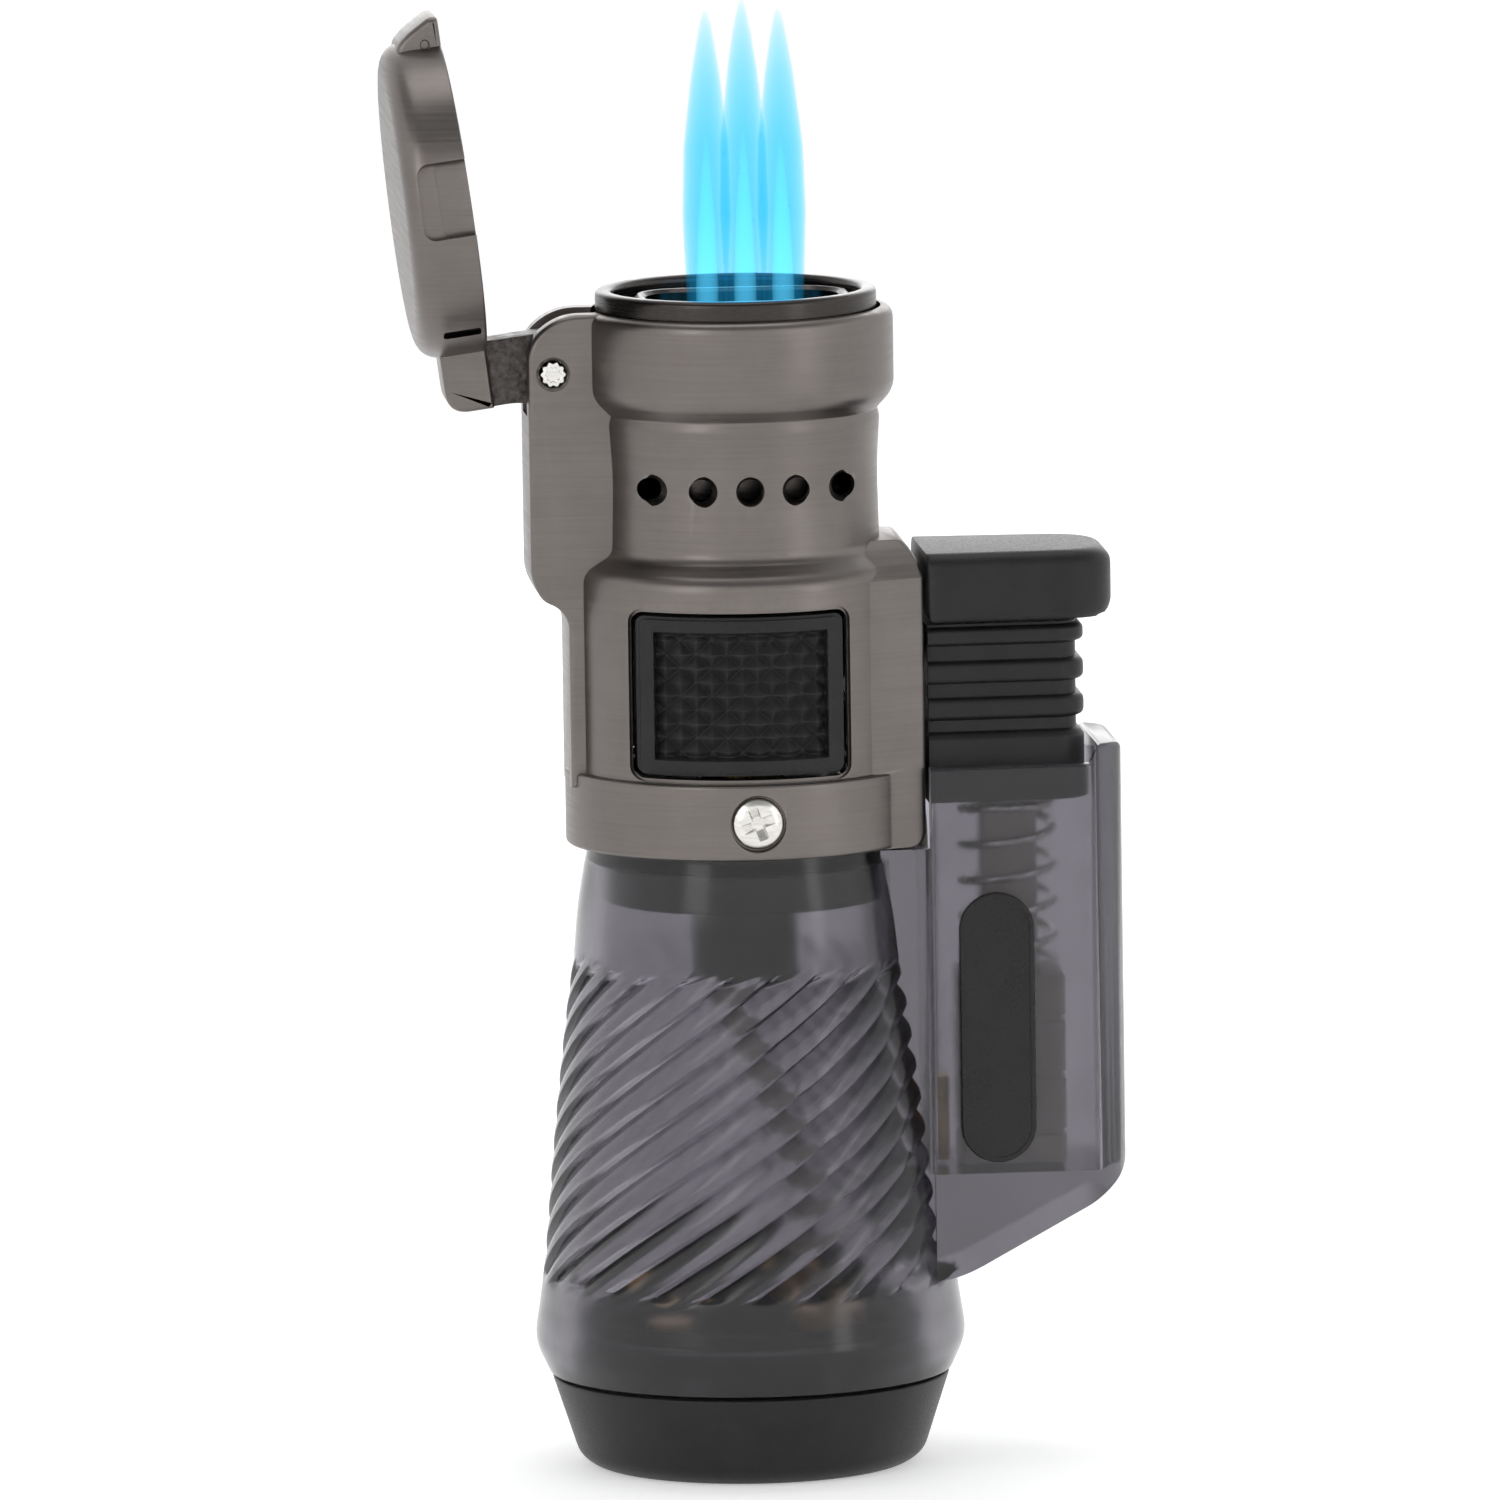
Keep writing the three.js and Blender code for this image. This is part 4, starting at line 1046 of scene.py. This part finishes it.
# ------------------------------------------------------------------ screws and pins
def cross_recess(width, reach, depth, top):
    """Cutter for a cross recess with tapered wings, pointing up, its mouth at height top."""
    parts = []
    for turn in (0, math.pi / 2):
        wing = loft("wing", [
            at_height(rounded_rect(-reach * s, reach * s, -width * t, width * t, 0.08, 3), z)
            for s, t, z in ((0.35, 0.7, top - depth), (1.0, 1.0, top), (1.0, 1.0, top + 1))
        ])
        parts.append(moved(wing, turn=turn))
    return join(*parts)


class LIGHTER_OT_fasteners(bpy.types.Operator):
    """Two band screws and the splined hinge pin"""

    bl_idname = "lighter.fasteners"
    bl_label = "Screws and pins"
    bl_options = {"REGISTER", "UNDO"}

    def execute(self, context):
        for side, name in SIDES:
            screw = turned("screw", filleted([
                (0, 11.2), (1.0, 11.2), (1.0, 11.78), (1.8, 11.78), (1.78, 12.15), (1.2, 12.48),
                (0, SCREW_FACE),
            ], [0, 0.1, 0.05, 0.1, 0.15, 0.5, 0], steps=8), 0, 0, 96)
            carve(screw, cross_recess(0.36, 1.32, 0.62, SCREW_FACE))
            facing_out(moved(screw, turn=SCREW_TURN), side, 0, SCREW_Z)
            screw.name = f"{name}_band_screw"
            finished(screw, "body", bright_steel(), [f"{name}_screw"], 30)
        self.pin()
        return {"FINISHED"}

    def pin(self):
        angles = np.arange(120) * TURN / 120
        wave = 0.86 + 0.07 * np.cos(10 * angles)
        end = np.column_stack([PIN_X + wave * np.cos(angles), PIN_Z + wave * np.sin(angles)])
        plain = np.column_stack([PIN_X + 0.88 * np.cos(angles), PIN_Z + 0.88 * np.sin(angles)])
        centre = np.array([PIN_X, PIN_Z])
        half = 3.64
        stations = [
            (-half, 0.55, end), (-half, 0.62, end), (-half + 0.06, 0.93, end), (-half + 0.2, 1.0, end),
            (-2.4, 1.0, end), (-2.3, 1.0, plain), (2.3, 1.0, plain), (2.4, 1.0, end),
            (half - 0.2, 1.0, end), (half - 0.06, 0.93, end), (half, 0.62, end), (half, 0.55, end),
        ]
        dish = 0.18
        rings = [at_height(centre + (shape - centre) * scale, y) for y, scale, shape in stations]
        rings[0][:, 2] += dish
        rings[-1][:, 2] -= dish
        pin = lying(loft("splined_pin", rings))
        finished(pin, "body", bright_steel(), ["hinge_pin"], 30)


# ------------------------------------------------------------------ burner
JETS = [f"jet_nozzle_{number}" for number in (1, 2, 3)]


def middle(name):
    """Middle of a frame node in plan, in millimetres."""
    return (low(name)[0] + high(name)[0]) / 2, (low(name)[1] + high(name)[1]) / 2


class LIGHTER_OT_burner(bpy.types.Operator):
    """Flame guard, burner block, three jets and the spark electrode"""

    bl_idname = "lighter.burner"
    bl_label = "Burner"
    bl_options = {"REGISTER", "UNDO"}

    def execute(self, context):
        self.guard()
        self.block()
        for number, name in enumerate(JETS, 1):
            x, _ = middle(name)
            top = high(name)[2]
            jet = turned(f"jet_{number}", filleted([
                (0, 70.3), (0.95, 70.3), (0.95, top - 1.2), (0.72, top - 0.9), (0.72, top - 0.5),
                (0.66, top), (0.36, top), (0.36, 75.4), (0, 75.0),
            ], [0, 0.1, 0.15, 0.1, 0.1, 0.1, 0.08, 0.1, 0]), x, 0, 48)
            finished(jet, "body", brass(), [name])
        x, _ = middle("electrode_insulator")
        insulator = turned("insulator_tube", ring_profile(0.45, 0.95, 65.0, 76.4, 0.12), x, 0, 48)
        finished(insulator, "body", ceramic(), ["electrode_insulator"])
        route = [(x, 0, 66.3), (x, 0, 77.0), (x + 0.4, 0, 78.2), (x + 1.2, 0, 78.9)]
        electrode = wire("spark_wire", route, 0.24)
        finished(electrode, "body", bright_steel(), ["spark_electrode"])
        return {"FINISHED"}

    def guard(self):
        (x0, y0, z0), (x1, y1, z1) = low("flame_guard"), high("flame_guard")
        wall, edge = 0.8, 0.25
        outer = rounded_rect(x0, x1, y0, y1, 3.6, 12)
        inner = offset(outer, -wall)
        section = [
            (0, z0), (0, z1 - edge), (edge, z1), (wall - edge, z1), (wall, z1 - edge), (wall, z0),
        ]
        rings = [at_height(outer + (inner - outer) * (depth / wall), z) for depth, z in section]
        guard = loft("flame_liner", rings, ring=True)
        for x in (x0, x1):
            port = prism("port", arc(0, 71.6, 0.9, 0, 360, 24)[:-1], x - 2, x + 2)
            carve(guard, lying(port, "x"))
        finished(guard, "body", dark_metal(), ["flame_guard"])

    def block(self):
        side = filleted([(0, 66.3), (8.3, 66.3), (8.3, 67.9), (0, 67.9)], 0.2)
        flange = turned("burner", side, facets=128)
        body = prism("body", rounded_rect(-5.6, 5.9, -3.7, 3.7, 2.4), 67, 74.2, 0.3)
        join(flange, body)
        for name, bottom in [(jet, 70) for jet in JETS] + [("electrode_insulator", 60)]:
            hole = [(0, bottom), (1.15, bottom), (1.15, 80), (0, 80)]
            carve(flange, turned("hole", hole, middle(name)[0], 0, 40))
        for x in (-3.0, 4.9):
            for y in (-2.4, 2.4):
                carve(flange, turned("air way", [(0, 60), (0.7, 60), (0.7, 80), (0, 80)], x, y, 24))
        finished(flange, "body", dark_metal(), ["burner_block"])


# ------------------------------------------------------------------ spark unit and plunger
SPARK_X = middle("spark_slider")[0]
CAP_LOW, CAP_HIGH = low("plunger_cap"), high("plunger_cap")
STEM_LOW = low("plunger_stem")


class LIGHTER_OT_spark_unit(bpy.types.Operator):
    """Spark unit's case, slider and spring, with its contact strip and lead"""

    bl_idname = "lighter.spark_unit"
    bl_label = "Spark unit"
    bl_options = {"REGISTER", "UNDO"}

    def execute(self, context):
        (x0, y0, z0), (x1, y1, z1) = low("spark_case"), high("spark_case")
        case = prism("spark_unit_case", rounded_rect(x0, x1, y0, y1, 0.6), z0, z1, 0.2)
        carve(case, box("well", SPARK_X - 2.3, SPARK_X + 2.3, -2.2, 2.2, 23.5, 40, 0.3))
        for z in (23.0, 27.0, 31.0):
            groove = box("groove", x0 - 1, x1 + 1, y0 - 1, y1 + 1, z, z + 0.5, 0.1)
            carve(groove, box("core", x0 + 0.25, x1 - 0.25, y0 + 0.25, y1 - 0.25, z - 1, z + 2, 0.5))
            carve(case, groove)
        finished(case, "body", pale_plastic(), ["spark_case"])
        slider = box("spark_unit_slider", SPARK_X - 2.0, SPARK_X + 2.0, -1.9, 1.9, 33.0, 49.2, 0.4, 0.2)
        finished(slider, "plunger", pale_plastic(), ["spark_slider"])
        strip = box("brass_strip", 12.9, 13.9, -1.2, 1.2, z0, 27.0, 0.1, 0.1)
        finished(strip, "body", brass(), ["contact_strip"])
        lead = wire("ignition_lead", [
            (13.1, 4.85, 24), (13.1, 4.85, 34), (13.1, 4.85, 44), (12.45, 4.85, 48.2), (11.8, 4.8, 52),
            (11.2, 4.7, 57.5), (8.4, 3.9, 61.5), (3.0, 3.4, 62.6), (-2.0, 1.7, 62.8), (-4.1, 0.1, 63.6),
            (-4.1, 0, 64.6),
        ], 0.35, 12)
        finished(lead, "body", pale_plastic(), ["spark_lead"])
        self.spring()
        return {"FINISHED"}

    def spring(self):
        bottom, top = low("return_spring")[2] + 0.35, high("return_spring")[2] - 0.35
        turns, radius = 5, 3.3
        angles = np.linspace(0, TURN * turns, turns * 16 + 1)
        rise = np.clip((angles / (TURN * turns) - 0.06) / 0.88, 0, 1)
        path = np.column_stack([
            SPARK_X + radius * np.cos(angles), radius * np.sin(angles), bottom + rise * (top - bottom),
        ])
        spring = wire("plunger_spring", path, 0.33, 12, turns * 48)
        finished(spring, "body", bright_steel(), ["return_spring"])
        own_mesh(spring)


def stem_offset(z):
    """How far the ribbed stem stands out from its core at a height."""
    proud = 0.0
    for centre, half in ((58.65, 0.62), (56.1, 0.78), (53.55, 0.78)):
        reach = abs(z - centre) / half
        proud = max(proud, 0.55 * math.sqrt(max(0.0, 1 - reach**4)))
    if z < 51.9:
        proud = max(proud, 0.55 * min(1.0, math.sqrt(max(0.0, (51.9 - z) / 0.5))))
    return proud


class LIGHTER_OT_plunger(bpy.types.Operator):
    """Thumb cap and the ribbed stem under it"""

    bl_idname = "lighter.plunger"
    bl_label = "Plunger"
    bl_options = {"REGISTER", "UNDO"}

    def execute(self, context):
        left, right = CAP_LOW[0], CAP_HIGH[0]
        plan = tapered_plan(left, right, CAP_HIGH[1], CHAMBER_TAPER, 3.4, 0.25, 16)
        foot = 1.4
        rings = []
        for t in np.linspace(0, 1, 7):
            inset = foot * (1 - math.sin(math.acos(1 - t)))
            ring = offset(plan, -0.28 * inset)
            ring[:, 0] = np.minimum(ring[:, 0], right - inset * 0.9)
            rings.append(at_height(ring, CAP_LOW[2] + foot * t))
        edge = 1.2
        for t in np.linspace(0, math.pi / 2, 9):
            inset = edge * (1 - math.cos(t))
            shrink = (1 - inset / (right - left), 1 - inset / CAP_HIGH[1])
            ring = (plan - (left, 0)) * shrink + (left, 0)
            rings.append(at_height(ring, CAP_HIGH[2] - edge * (1 - math.sin(t))))
        cap = loft("thumb_cap", rings)
        finished(cap, "plunger", black_plastic(), ["plunger_cap"])
        self.stem()
        return {"FINISHED"}

    def stem(self):
        left, right = 12.65, 23.3
        core = tapered_plan(left, right, 4.75, CHAMBER_TAPER, 1.6, 0.1, 10)
        heights = np.concatenate([[STEM_LOW[2]], np.linspace(51.0, CAP_LOW[2] - 0.3, 100)])
        rings = []
        for z in heights:
            ring = offset(core, stem_offset(z))
            ring[:, 0] = np.maximum(ring[:, 0], left)
            rings.append(at_height(ring, z))
        stem = loft("ribbed_stem", rings)
        ramp = side_prism("ramp", np.array([
            (14, 50.6), (14, 59.2), (left - 0.7, 59.2), (left - 0.7, 58.6), (left - 0.02, 50.6),
        ])[::-1], 1.6)
        join(stem, ramp)
        carve(stem, box("socket", SPARK_X - 2.3, SPARK_X + 2.3, -2.2, 2.2, 40, 49.5, 0.3))
        carve(stem, box("lead groove", 12, 14.1, 4.3, 6, 40, 62, 0.1))
        finished(stem, "plunger", black_plastic(), ["plunger_stem"], 28)


class LIGHTER_OT_badge(bpy.types.Operator):
    """Plain black badge with a raised lip, on the front of the chamber"""

    bl_idname = "lighter.badge"
    bl_label = "Badge"
    bl_options = {"REGISTER", "UNDO"}

    def execute(self, context):
        outline = rounded_rect(-2.65, 2.65, -9.55, 9.55, 2.64, 16)
        plate = prism("plain_badge", outline, -0.25, 0.25, 0.18, 5)
        face = prism("face", rounded_rect(-2.3, 2.3, -9.2, 9.2, 2.29, 16), 0.17, 1.0)
        carve(plate, face)
        x = middle("badge")[0]
        face_y = -(CHAMBER_HALF - CHAMBER_TAPER * x)
        place = Matrix.Translation(Vector((x, face_y, 31.3)) * MM)
        place @= Matrix.Rotation(math.atan(CHAMBER_TAPER), 4, "Z")
        place @= Matrix.Translation(Vector((0, -0.3, 0)) * MM)
        place @= Matrix.Rotation(math.pi / 2, 4, "X")
        plate.data.transform(place)
        finished(plate, "body", black_plastic("badge_plastic", 0.3, 0.004), ["badge"])
        return {"FINISHED"}


# ------------------------------------------------------------------ lid
LID_X = -PIN_X                               # middle of the closed lid, from the pin
LID_RIM = 4.3
LID_TOP = 9.2
LID_ROOF = 8.4
LID_RADIUS = 11.15
LID_BORE = 10.35
LID_FALL = 0.6                               # how much lower its roof is at the thumb end


def disc(name, radius, bottom, top):
    """A plain disc about the closed lid's axis."""
    return turned(name, [(0, bottom), (radius, bottom), (radius, top), (0, top)], LID_X, 0, 160)


def opened(obj):
    """Turns a piece drawn closed and measured from the pin to where the open lid holds it."""
    return moved(obj, (PIN_X, 0, PIN_Z), -LID_OPEN, "Y")


class LIGHTER_OT_lid(bpy.types.Operator):
    """Flip lid with its thumb tab, side notches and lug, on a cast arm"""

    bl_idname = "lighter.lid"
    bl_label = "Lid"
    bl_options = {"REGISTER", "UNDO"}

    def execute(self, context):
        cover = turned("lid_cover", filleted([
            (0, LID_ROOF), (LID_BORE, LID_ROOF), (LID_BORE, LID_RIM), (LID_RADIUS, LID_RIM),
            (LID_RADIUS, LID_TOP), (0, LID_TOP),
        ], [0, 0.9, 0.15, 0.2, 2.2, 0], steps=10), LID_X, 0, 192)
        rim = LID_RIM
        tab = side_prism("tab", filleted([
            (LID_X + 9, rim), (LID_X + 12.8, rim), (LID_X + 12.85, rim + 0.7),
            (LID_X + 11.9, rim + 2.6), (LID_X + 11.1, rim + 3.6), (LID_X + 9, rim + 3.6),
        ], [0, 0.3, 0.5, 1.2, 0.5, 0], closed=True, steps=8), 2.8, 0.45)
        lug = side_prism("lug", filleted([
            (3.4, rim), (3.4, 7.6), (-1.85, 7.6), (-1.85, rim),
        ], [0, 0.2, 2.2, 0.15], closed=True, steps=10), 2.4, 0.4)
        for part in (tab, lug):
            carve(part, disc("inside", LID_BORE, 0, LID_ROOF))
        join(cover, tab, lug)
        self.side_cuts(cover)
        carve(cover, box("arm seat", -4, 3.1, -1.9, 1.9, 0, 4.9, 0.1))
        dimple = turned("dimple", [(0, -0.25), (0.3, -0.25), (0.5, 0.3), (0, 0.3)], 0, 0, 32)
        carve(cover, moved(dimple, (LID_X + 11.0, -2.8, rim + 1.3), math.pi / 2, "X"))
        self.slope_roof(cover)
        finished(opened(cover), "lid", gunmetal(), ["lid"], 35)
        self.arm()
        return {"FINISHED"}

    def slope_roof(self, cover):
        """Lowers the roof towards the thumb end, and leaves the rim level."""
        for vertex in cover.data.vertices:
            along = (vertex.co.x / MM - LID_X) / LID_RADIUS
            up = (vertex.co.z / MM - LID_RIM) / (LID_TOP - LID_RIM)
            vertex.co.z -= LID_FALL * MM * max(0, along + 1) / 2 * max(0, up)

    def side_cuts(self, cover):
        """The stepped notch and the narrow slot in each side of the lid's wall."""
        for name, x0, x1, z0, z1, corner, keep in (
            ("notch", LID_X - 1.75, LID_X + 3.6, 3.0, 6.7, 0.6, 10.45),
            ("pocket", LID_X - 1.75, LID_X + 3.6, 3.0, 8.1, 0.9, 10.65),
            ("slot", 3.95, 4.5, 4.7, 7.4, 0.2, 10.75),
        ):
            cutter = side_prism(name, rounded_rect(x0, x1, z0, z1, corner), 14)
            carve(cover, carve(cutter, disc("keep", keep, 0, 12)))

    def arm(self):
        eye = arc(0, 0, 2.8, 180, 360, 24)
        outline = np.concatenate([
            filleted([(2.8, 0), (2.8, 4.6), (-1.8, 4.6), (-1.8, 2.4), (-2.8, 0)],
                     [0, 0.3, 0.2, 0.8, 0])[:-1], eye[:-1],
        ])
        arm = side_prism("hinge_arm", outline, 1.6, 0.15)
        carve(arm, rod("eye", 0, 0, 0.98, -5, 5))
        finished(opened(arm), "lid", black_casting(), ["lid_arm"])


# ------------------------------------------------------------------ pieces kept from the frame
class LIGHTER_OT_kept(bpy.types.Operator):
    """Finishes on the framed parts whose own shape is shown"""

    bl_idname = "lighter.kept"
    bl_label = "Framed parts"
    bl_options = {"REGISTER", "UNDO"}

    def execute(self, context):
        for name in ("valve_lever", "lever_pin", "detent_spring"):
            mesh = frame["nodes"][name].data
            mesh.materials.clear()
            mesh.materials.append(bright_steel())
        return {"FINISHED"}


# ------------------------------------------------------------------ stage
CAMERA_AZIMUTH = math.radians(-5)
CAMERA_DISTANCE = 1500.0
CAMERA_HEIGHT = 250.0
CAMERA_AIM = (0.56, 0.0, 50.4)
CAMERA_ROLL = math.radians(-0.84)
CAMERA_LENS = 517.5


def looking_at(obj, place, target, roll=0.0):
    """Puts a light or camera at a place, facing a target, both in millimetres."""
    obj.location = Vector(place) * MM
    facing = (Vector(target) - Vector(place)).to_track_quat("-Z", "Y")
    obj.rotation_euler = (facing.to_matrix() @ Matrix.Rotation(roll, 3, "Z")).to_euler()
    bpy.context.scene.collection.objects.link(obj)
    return obj


def softbox(name, place, width, height, watts):
    """A rectangular light aimed at the middle of the lighter."""
    light = bpy.data.lights.new(name, "AREA")
    light.shape = "RECTANGLE"
    light.size, light.size_y = width * MM, height * MM
    light.energy = watts
    return looking_at(bpy.data.objects.new(name, light), place, (4, 0, 48))


class LIGHTER_OT_stage(bpy.types.Operator):
    """Pale sweep, soft lights, camera and the three flames"""

    bl_idname = "lighter.stage"
    bl_label = "Stage"
    bl_options = {"REGISTER", "UNDO"}

    def execute(self, context):
        bpy.context.scene.view_settings.view_transform = "Standard"
        self.sweep()
        self.lights()
        camera = bpy.data.cameras.new("camera")
        camera.lens, camera.sensor_width = CAMERA_LENS, 36.0
        camera.clip_start, camera.clip_end = 0.01, 20.0
        across, away = math.sin(CAMERA_AZIMUTH), -math.cos(CAMERA_AZIMUTH)
        place = (CAMERA_DISTANCE * across, CAMERA_DISTANCE * away, CAMERA_HEIGHT)
        obj = bpy.data.objects.new("camera", camera)
        bpy.context.scene.camera = looking_at(obj, place, CAMERA_AIM, CAMERA_ROLL)
        self.flames()
        return {"FINISHED"}

    def sweep(self):
        """A round floor that curves up into a pale wall all round."""
        floor, bend, wall, facets, drop = 2200, 600, 2200, 96, 0.02
        curve = np.linspace(0.15, 1.5, 10)
        side = [(r, 0) for r in (300, 1000, floor)]
        side += [(floor + bend * math.sin(a), bend * (1 - math.cos(a))) for a in curve]
        side += [(floor + bend, wall)]
        angles = np.arange(facets) * TURN / facets
        points = [(0, 0, -drop)]
        for r, z in side:
            points += [(r * math.cos(a), r * math.sin(a), z - drop) for a in angles]
        faces = [(0, 1 + c, 1 + (c + 1) % facets) for c in range(facets)]
        for row in range(len(side) - 1):
            a, b = 1 + row * facets, 1 + (row + 1) * facets
            faces += [
                (a + c, b + c, b + (c + 1) % facets, a + (c + 1) % facets) for c in range(facets)
            ]
        sweep = shaded(mesh_object("studio_sweep", points, faces), 60)
        sweep.data.materials.append(backdrop())

    def lights(self):
        world = bpy.data.worlds.new("studio")
        world.use_nodes = True
        tree = world.node_tree
        direction = node(tree, "ShaderNodeTexCoord").outputs["Generated"]
        depth = node(tree, "ShaderNodeSeparateXYZ", {"Vector": direction}).outputs["Y"]
        tree.nodes["Background"].inputs["Color"].default_value = (0.97, 0.98, 1.0, 1)
        strength = spread(tree, depth, 0.35, 0.8, -0.6, 0.8)
        tree.links.new(strength, tree.nodes["Background"].inputs["Strength"])
        bpy.context.scene.world = world
        softbox("key light", (-420, -520, 330), 220, 420, 0.42)
        softbox("fill light", (480, -460, 200), 120, 420, 0.24)
        softbox("top light", (0, 60, 620), 420, 300, 0.6)
        softbox("back light", (60, 520, 240), 420, 300, 0.5)

    def flames(self):
        outer = flame_gas("flame_outer", (0.0, 0.74, 1.0), 620.0, (0.05, 0.6, 1.0), 75.0)
        inner = flame_gas("flame_core", (0.6, 0.95, 1.0), 200.0, (0.35, 0.9, 1.0), 260.0)
        body = (0, 0.2, 0.4, 0.6, 0.8, 0.9, 0.97, 1), (1.3, 1.5, 1.72, 1.6, 1.05, 0.66, 0.33, 0.02)
        core = (0, 0.3, 0.6, 0.85, 1), (0.75, 0.8, 0.6, 0.3, 0.02)
        for number, name in enumerate(JETS):
            x, _ = middle(name)
            start = high(name)[2] + 0.1
            reach = high("rim_ring")[2] + length("flame_height") - start - 0.7 * abs(number - 1)
            for part, shape, tall, material in (
                ("flame", body, 1.0, outer), ("core", core, 0.64, inner),
            ):
                rings = []
                for t in np.linspace(0, 1, 48):
                    lean = 0.15 * (number - 1) * t * tall
                    circle = arc(x - lean, 0, np.interp(t, *shape), 0, 360, 24)[:-1]
                    rings.append(at_height(circle, start + reach * tall * t))
                flame = shaded(loft(f"{part}_{number + 1}", rings), 60)
                flame.data.materials.append(material)
                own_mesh(flame)


# ------------------------------------------------------------------ panel and registration
STEPS = [
    LIGHTER_OT_tank, LIGHTER_OT_base, LIGHTER_OT_valve, LIGHTER_OT_head, LIGHTER_OT_pads,
    LIGHTER_OT_fasteners, LIGHTER_OT_burner, LIGHTER_OT_spark_unit, LIGHTER_OT_plunger,
    LIGHTER_OT_badge, LIGHTER_OT_lid, LIGHTER_OT_kept, LIGHTER_OT_stage,
]


class LIGHTER_PT_panel(bpy.types.Panel):
    """Sizes, colours and the steps that build the lighter"""

    bl_idname = "LIGHTER_PT_panel"
    bl_label = "Torch Lighter"
    bl_space_type = "VIEW_3D"
    bl_region_type = "UI"
    bl_category = "Lighter"

    def draw(self, context):
        layout = self.layout
        for settings in (context.scene.lighter_sizes, context.scene.lighter_colours):
            column = layout.column(align=True)
            for key in settings.__annotations__:
                column.prop(settings, key)
        column = layout.column(align=True)
        for step in STEPS:
            column.operator(step.bl_idname)


CLASSES = [LighterSizes, LighterColours, *STEPS, LIGHTER_PT_panel]


def register():
    for cls in CLASSES:
        bpy.utils.register_class(cls)
    bpy.types.Scene.lighter_sizes = PointerProperty(type=LighterSizes)
    bpy.types.Scene.lighter_colours = PointerProperty(type=LighterColours)


def unregister():
    del bpy.types.Scene.lighter_colours
    del bpy.types.Scene.lighter_sizes
    for cls in reversed(CLASSES):
        bpy.utils.unregister_class(cls)


def main():
    register()
    for step in STEPS:
        group, name = step.bl_idname.split(".")
        if getattr(getattr(bpy.ops, group), name)() != {"FINISHED"}:
            raise RuntimeError(f"{step.bl_label} wasn't built")


if __name__ == "__main__":
    main()
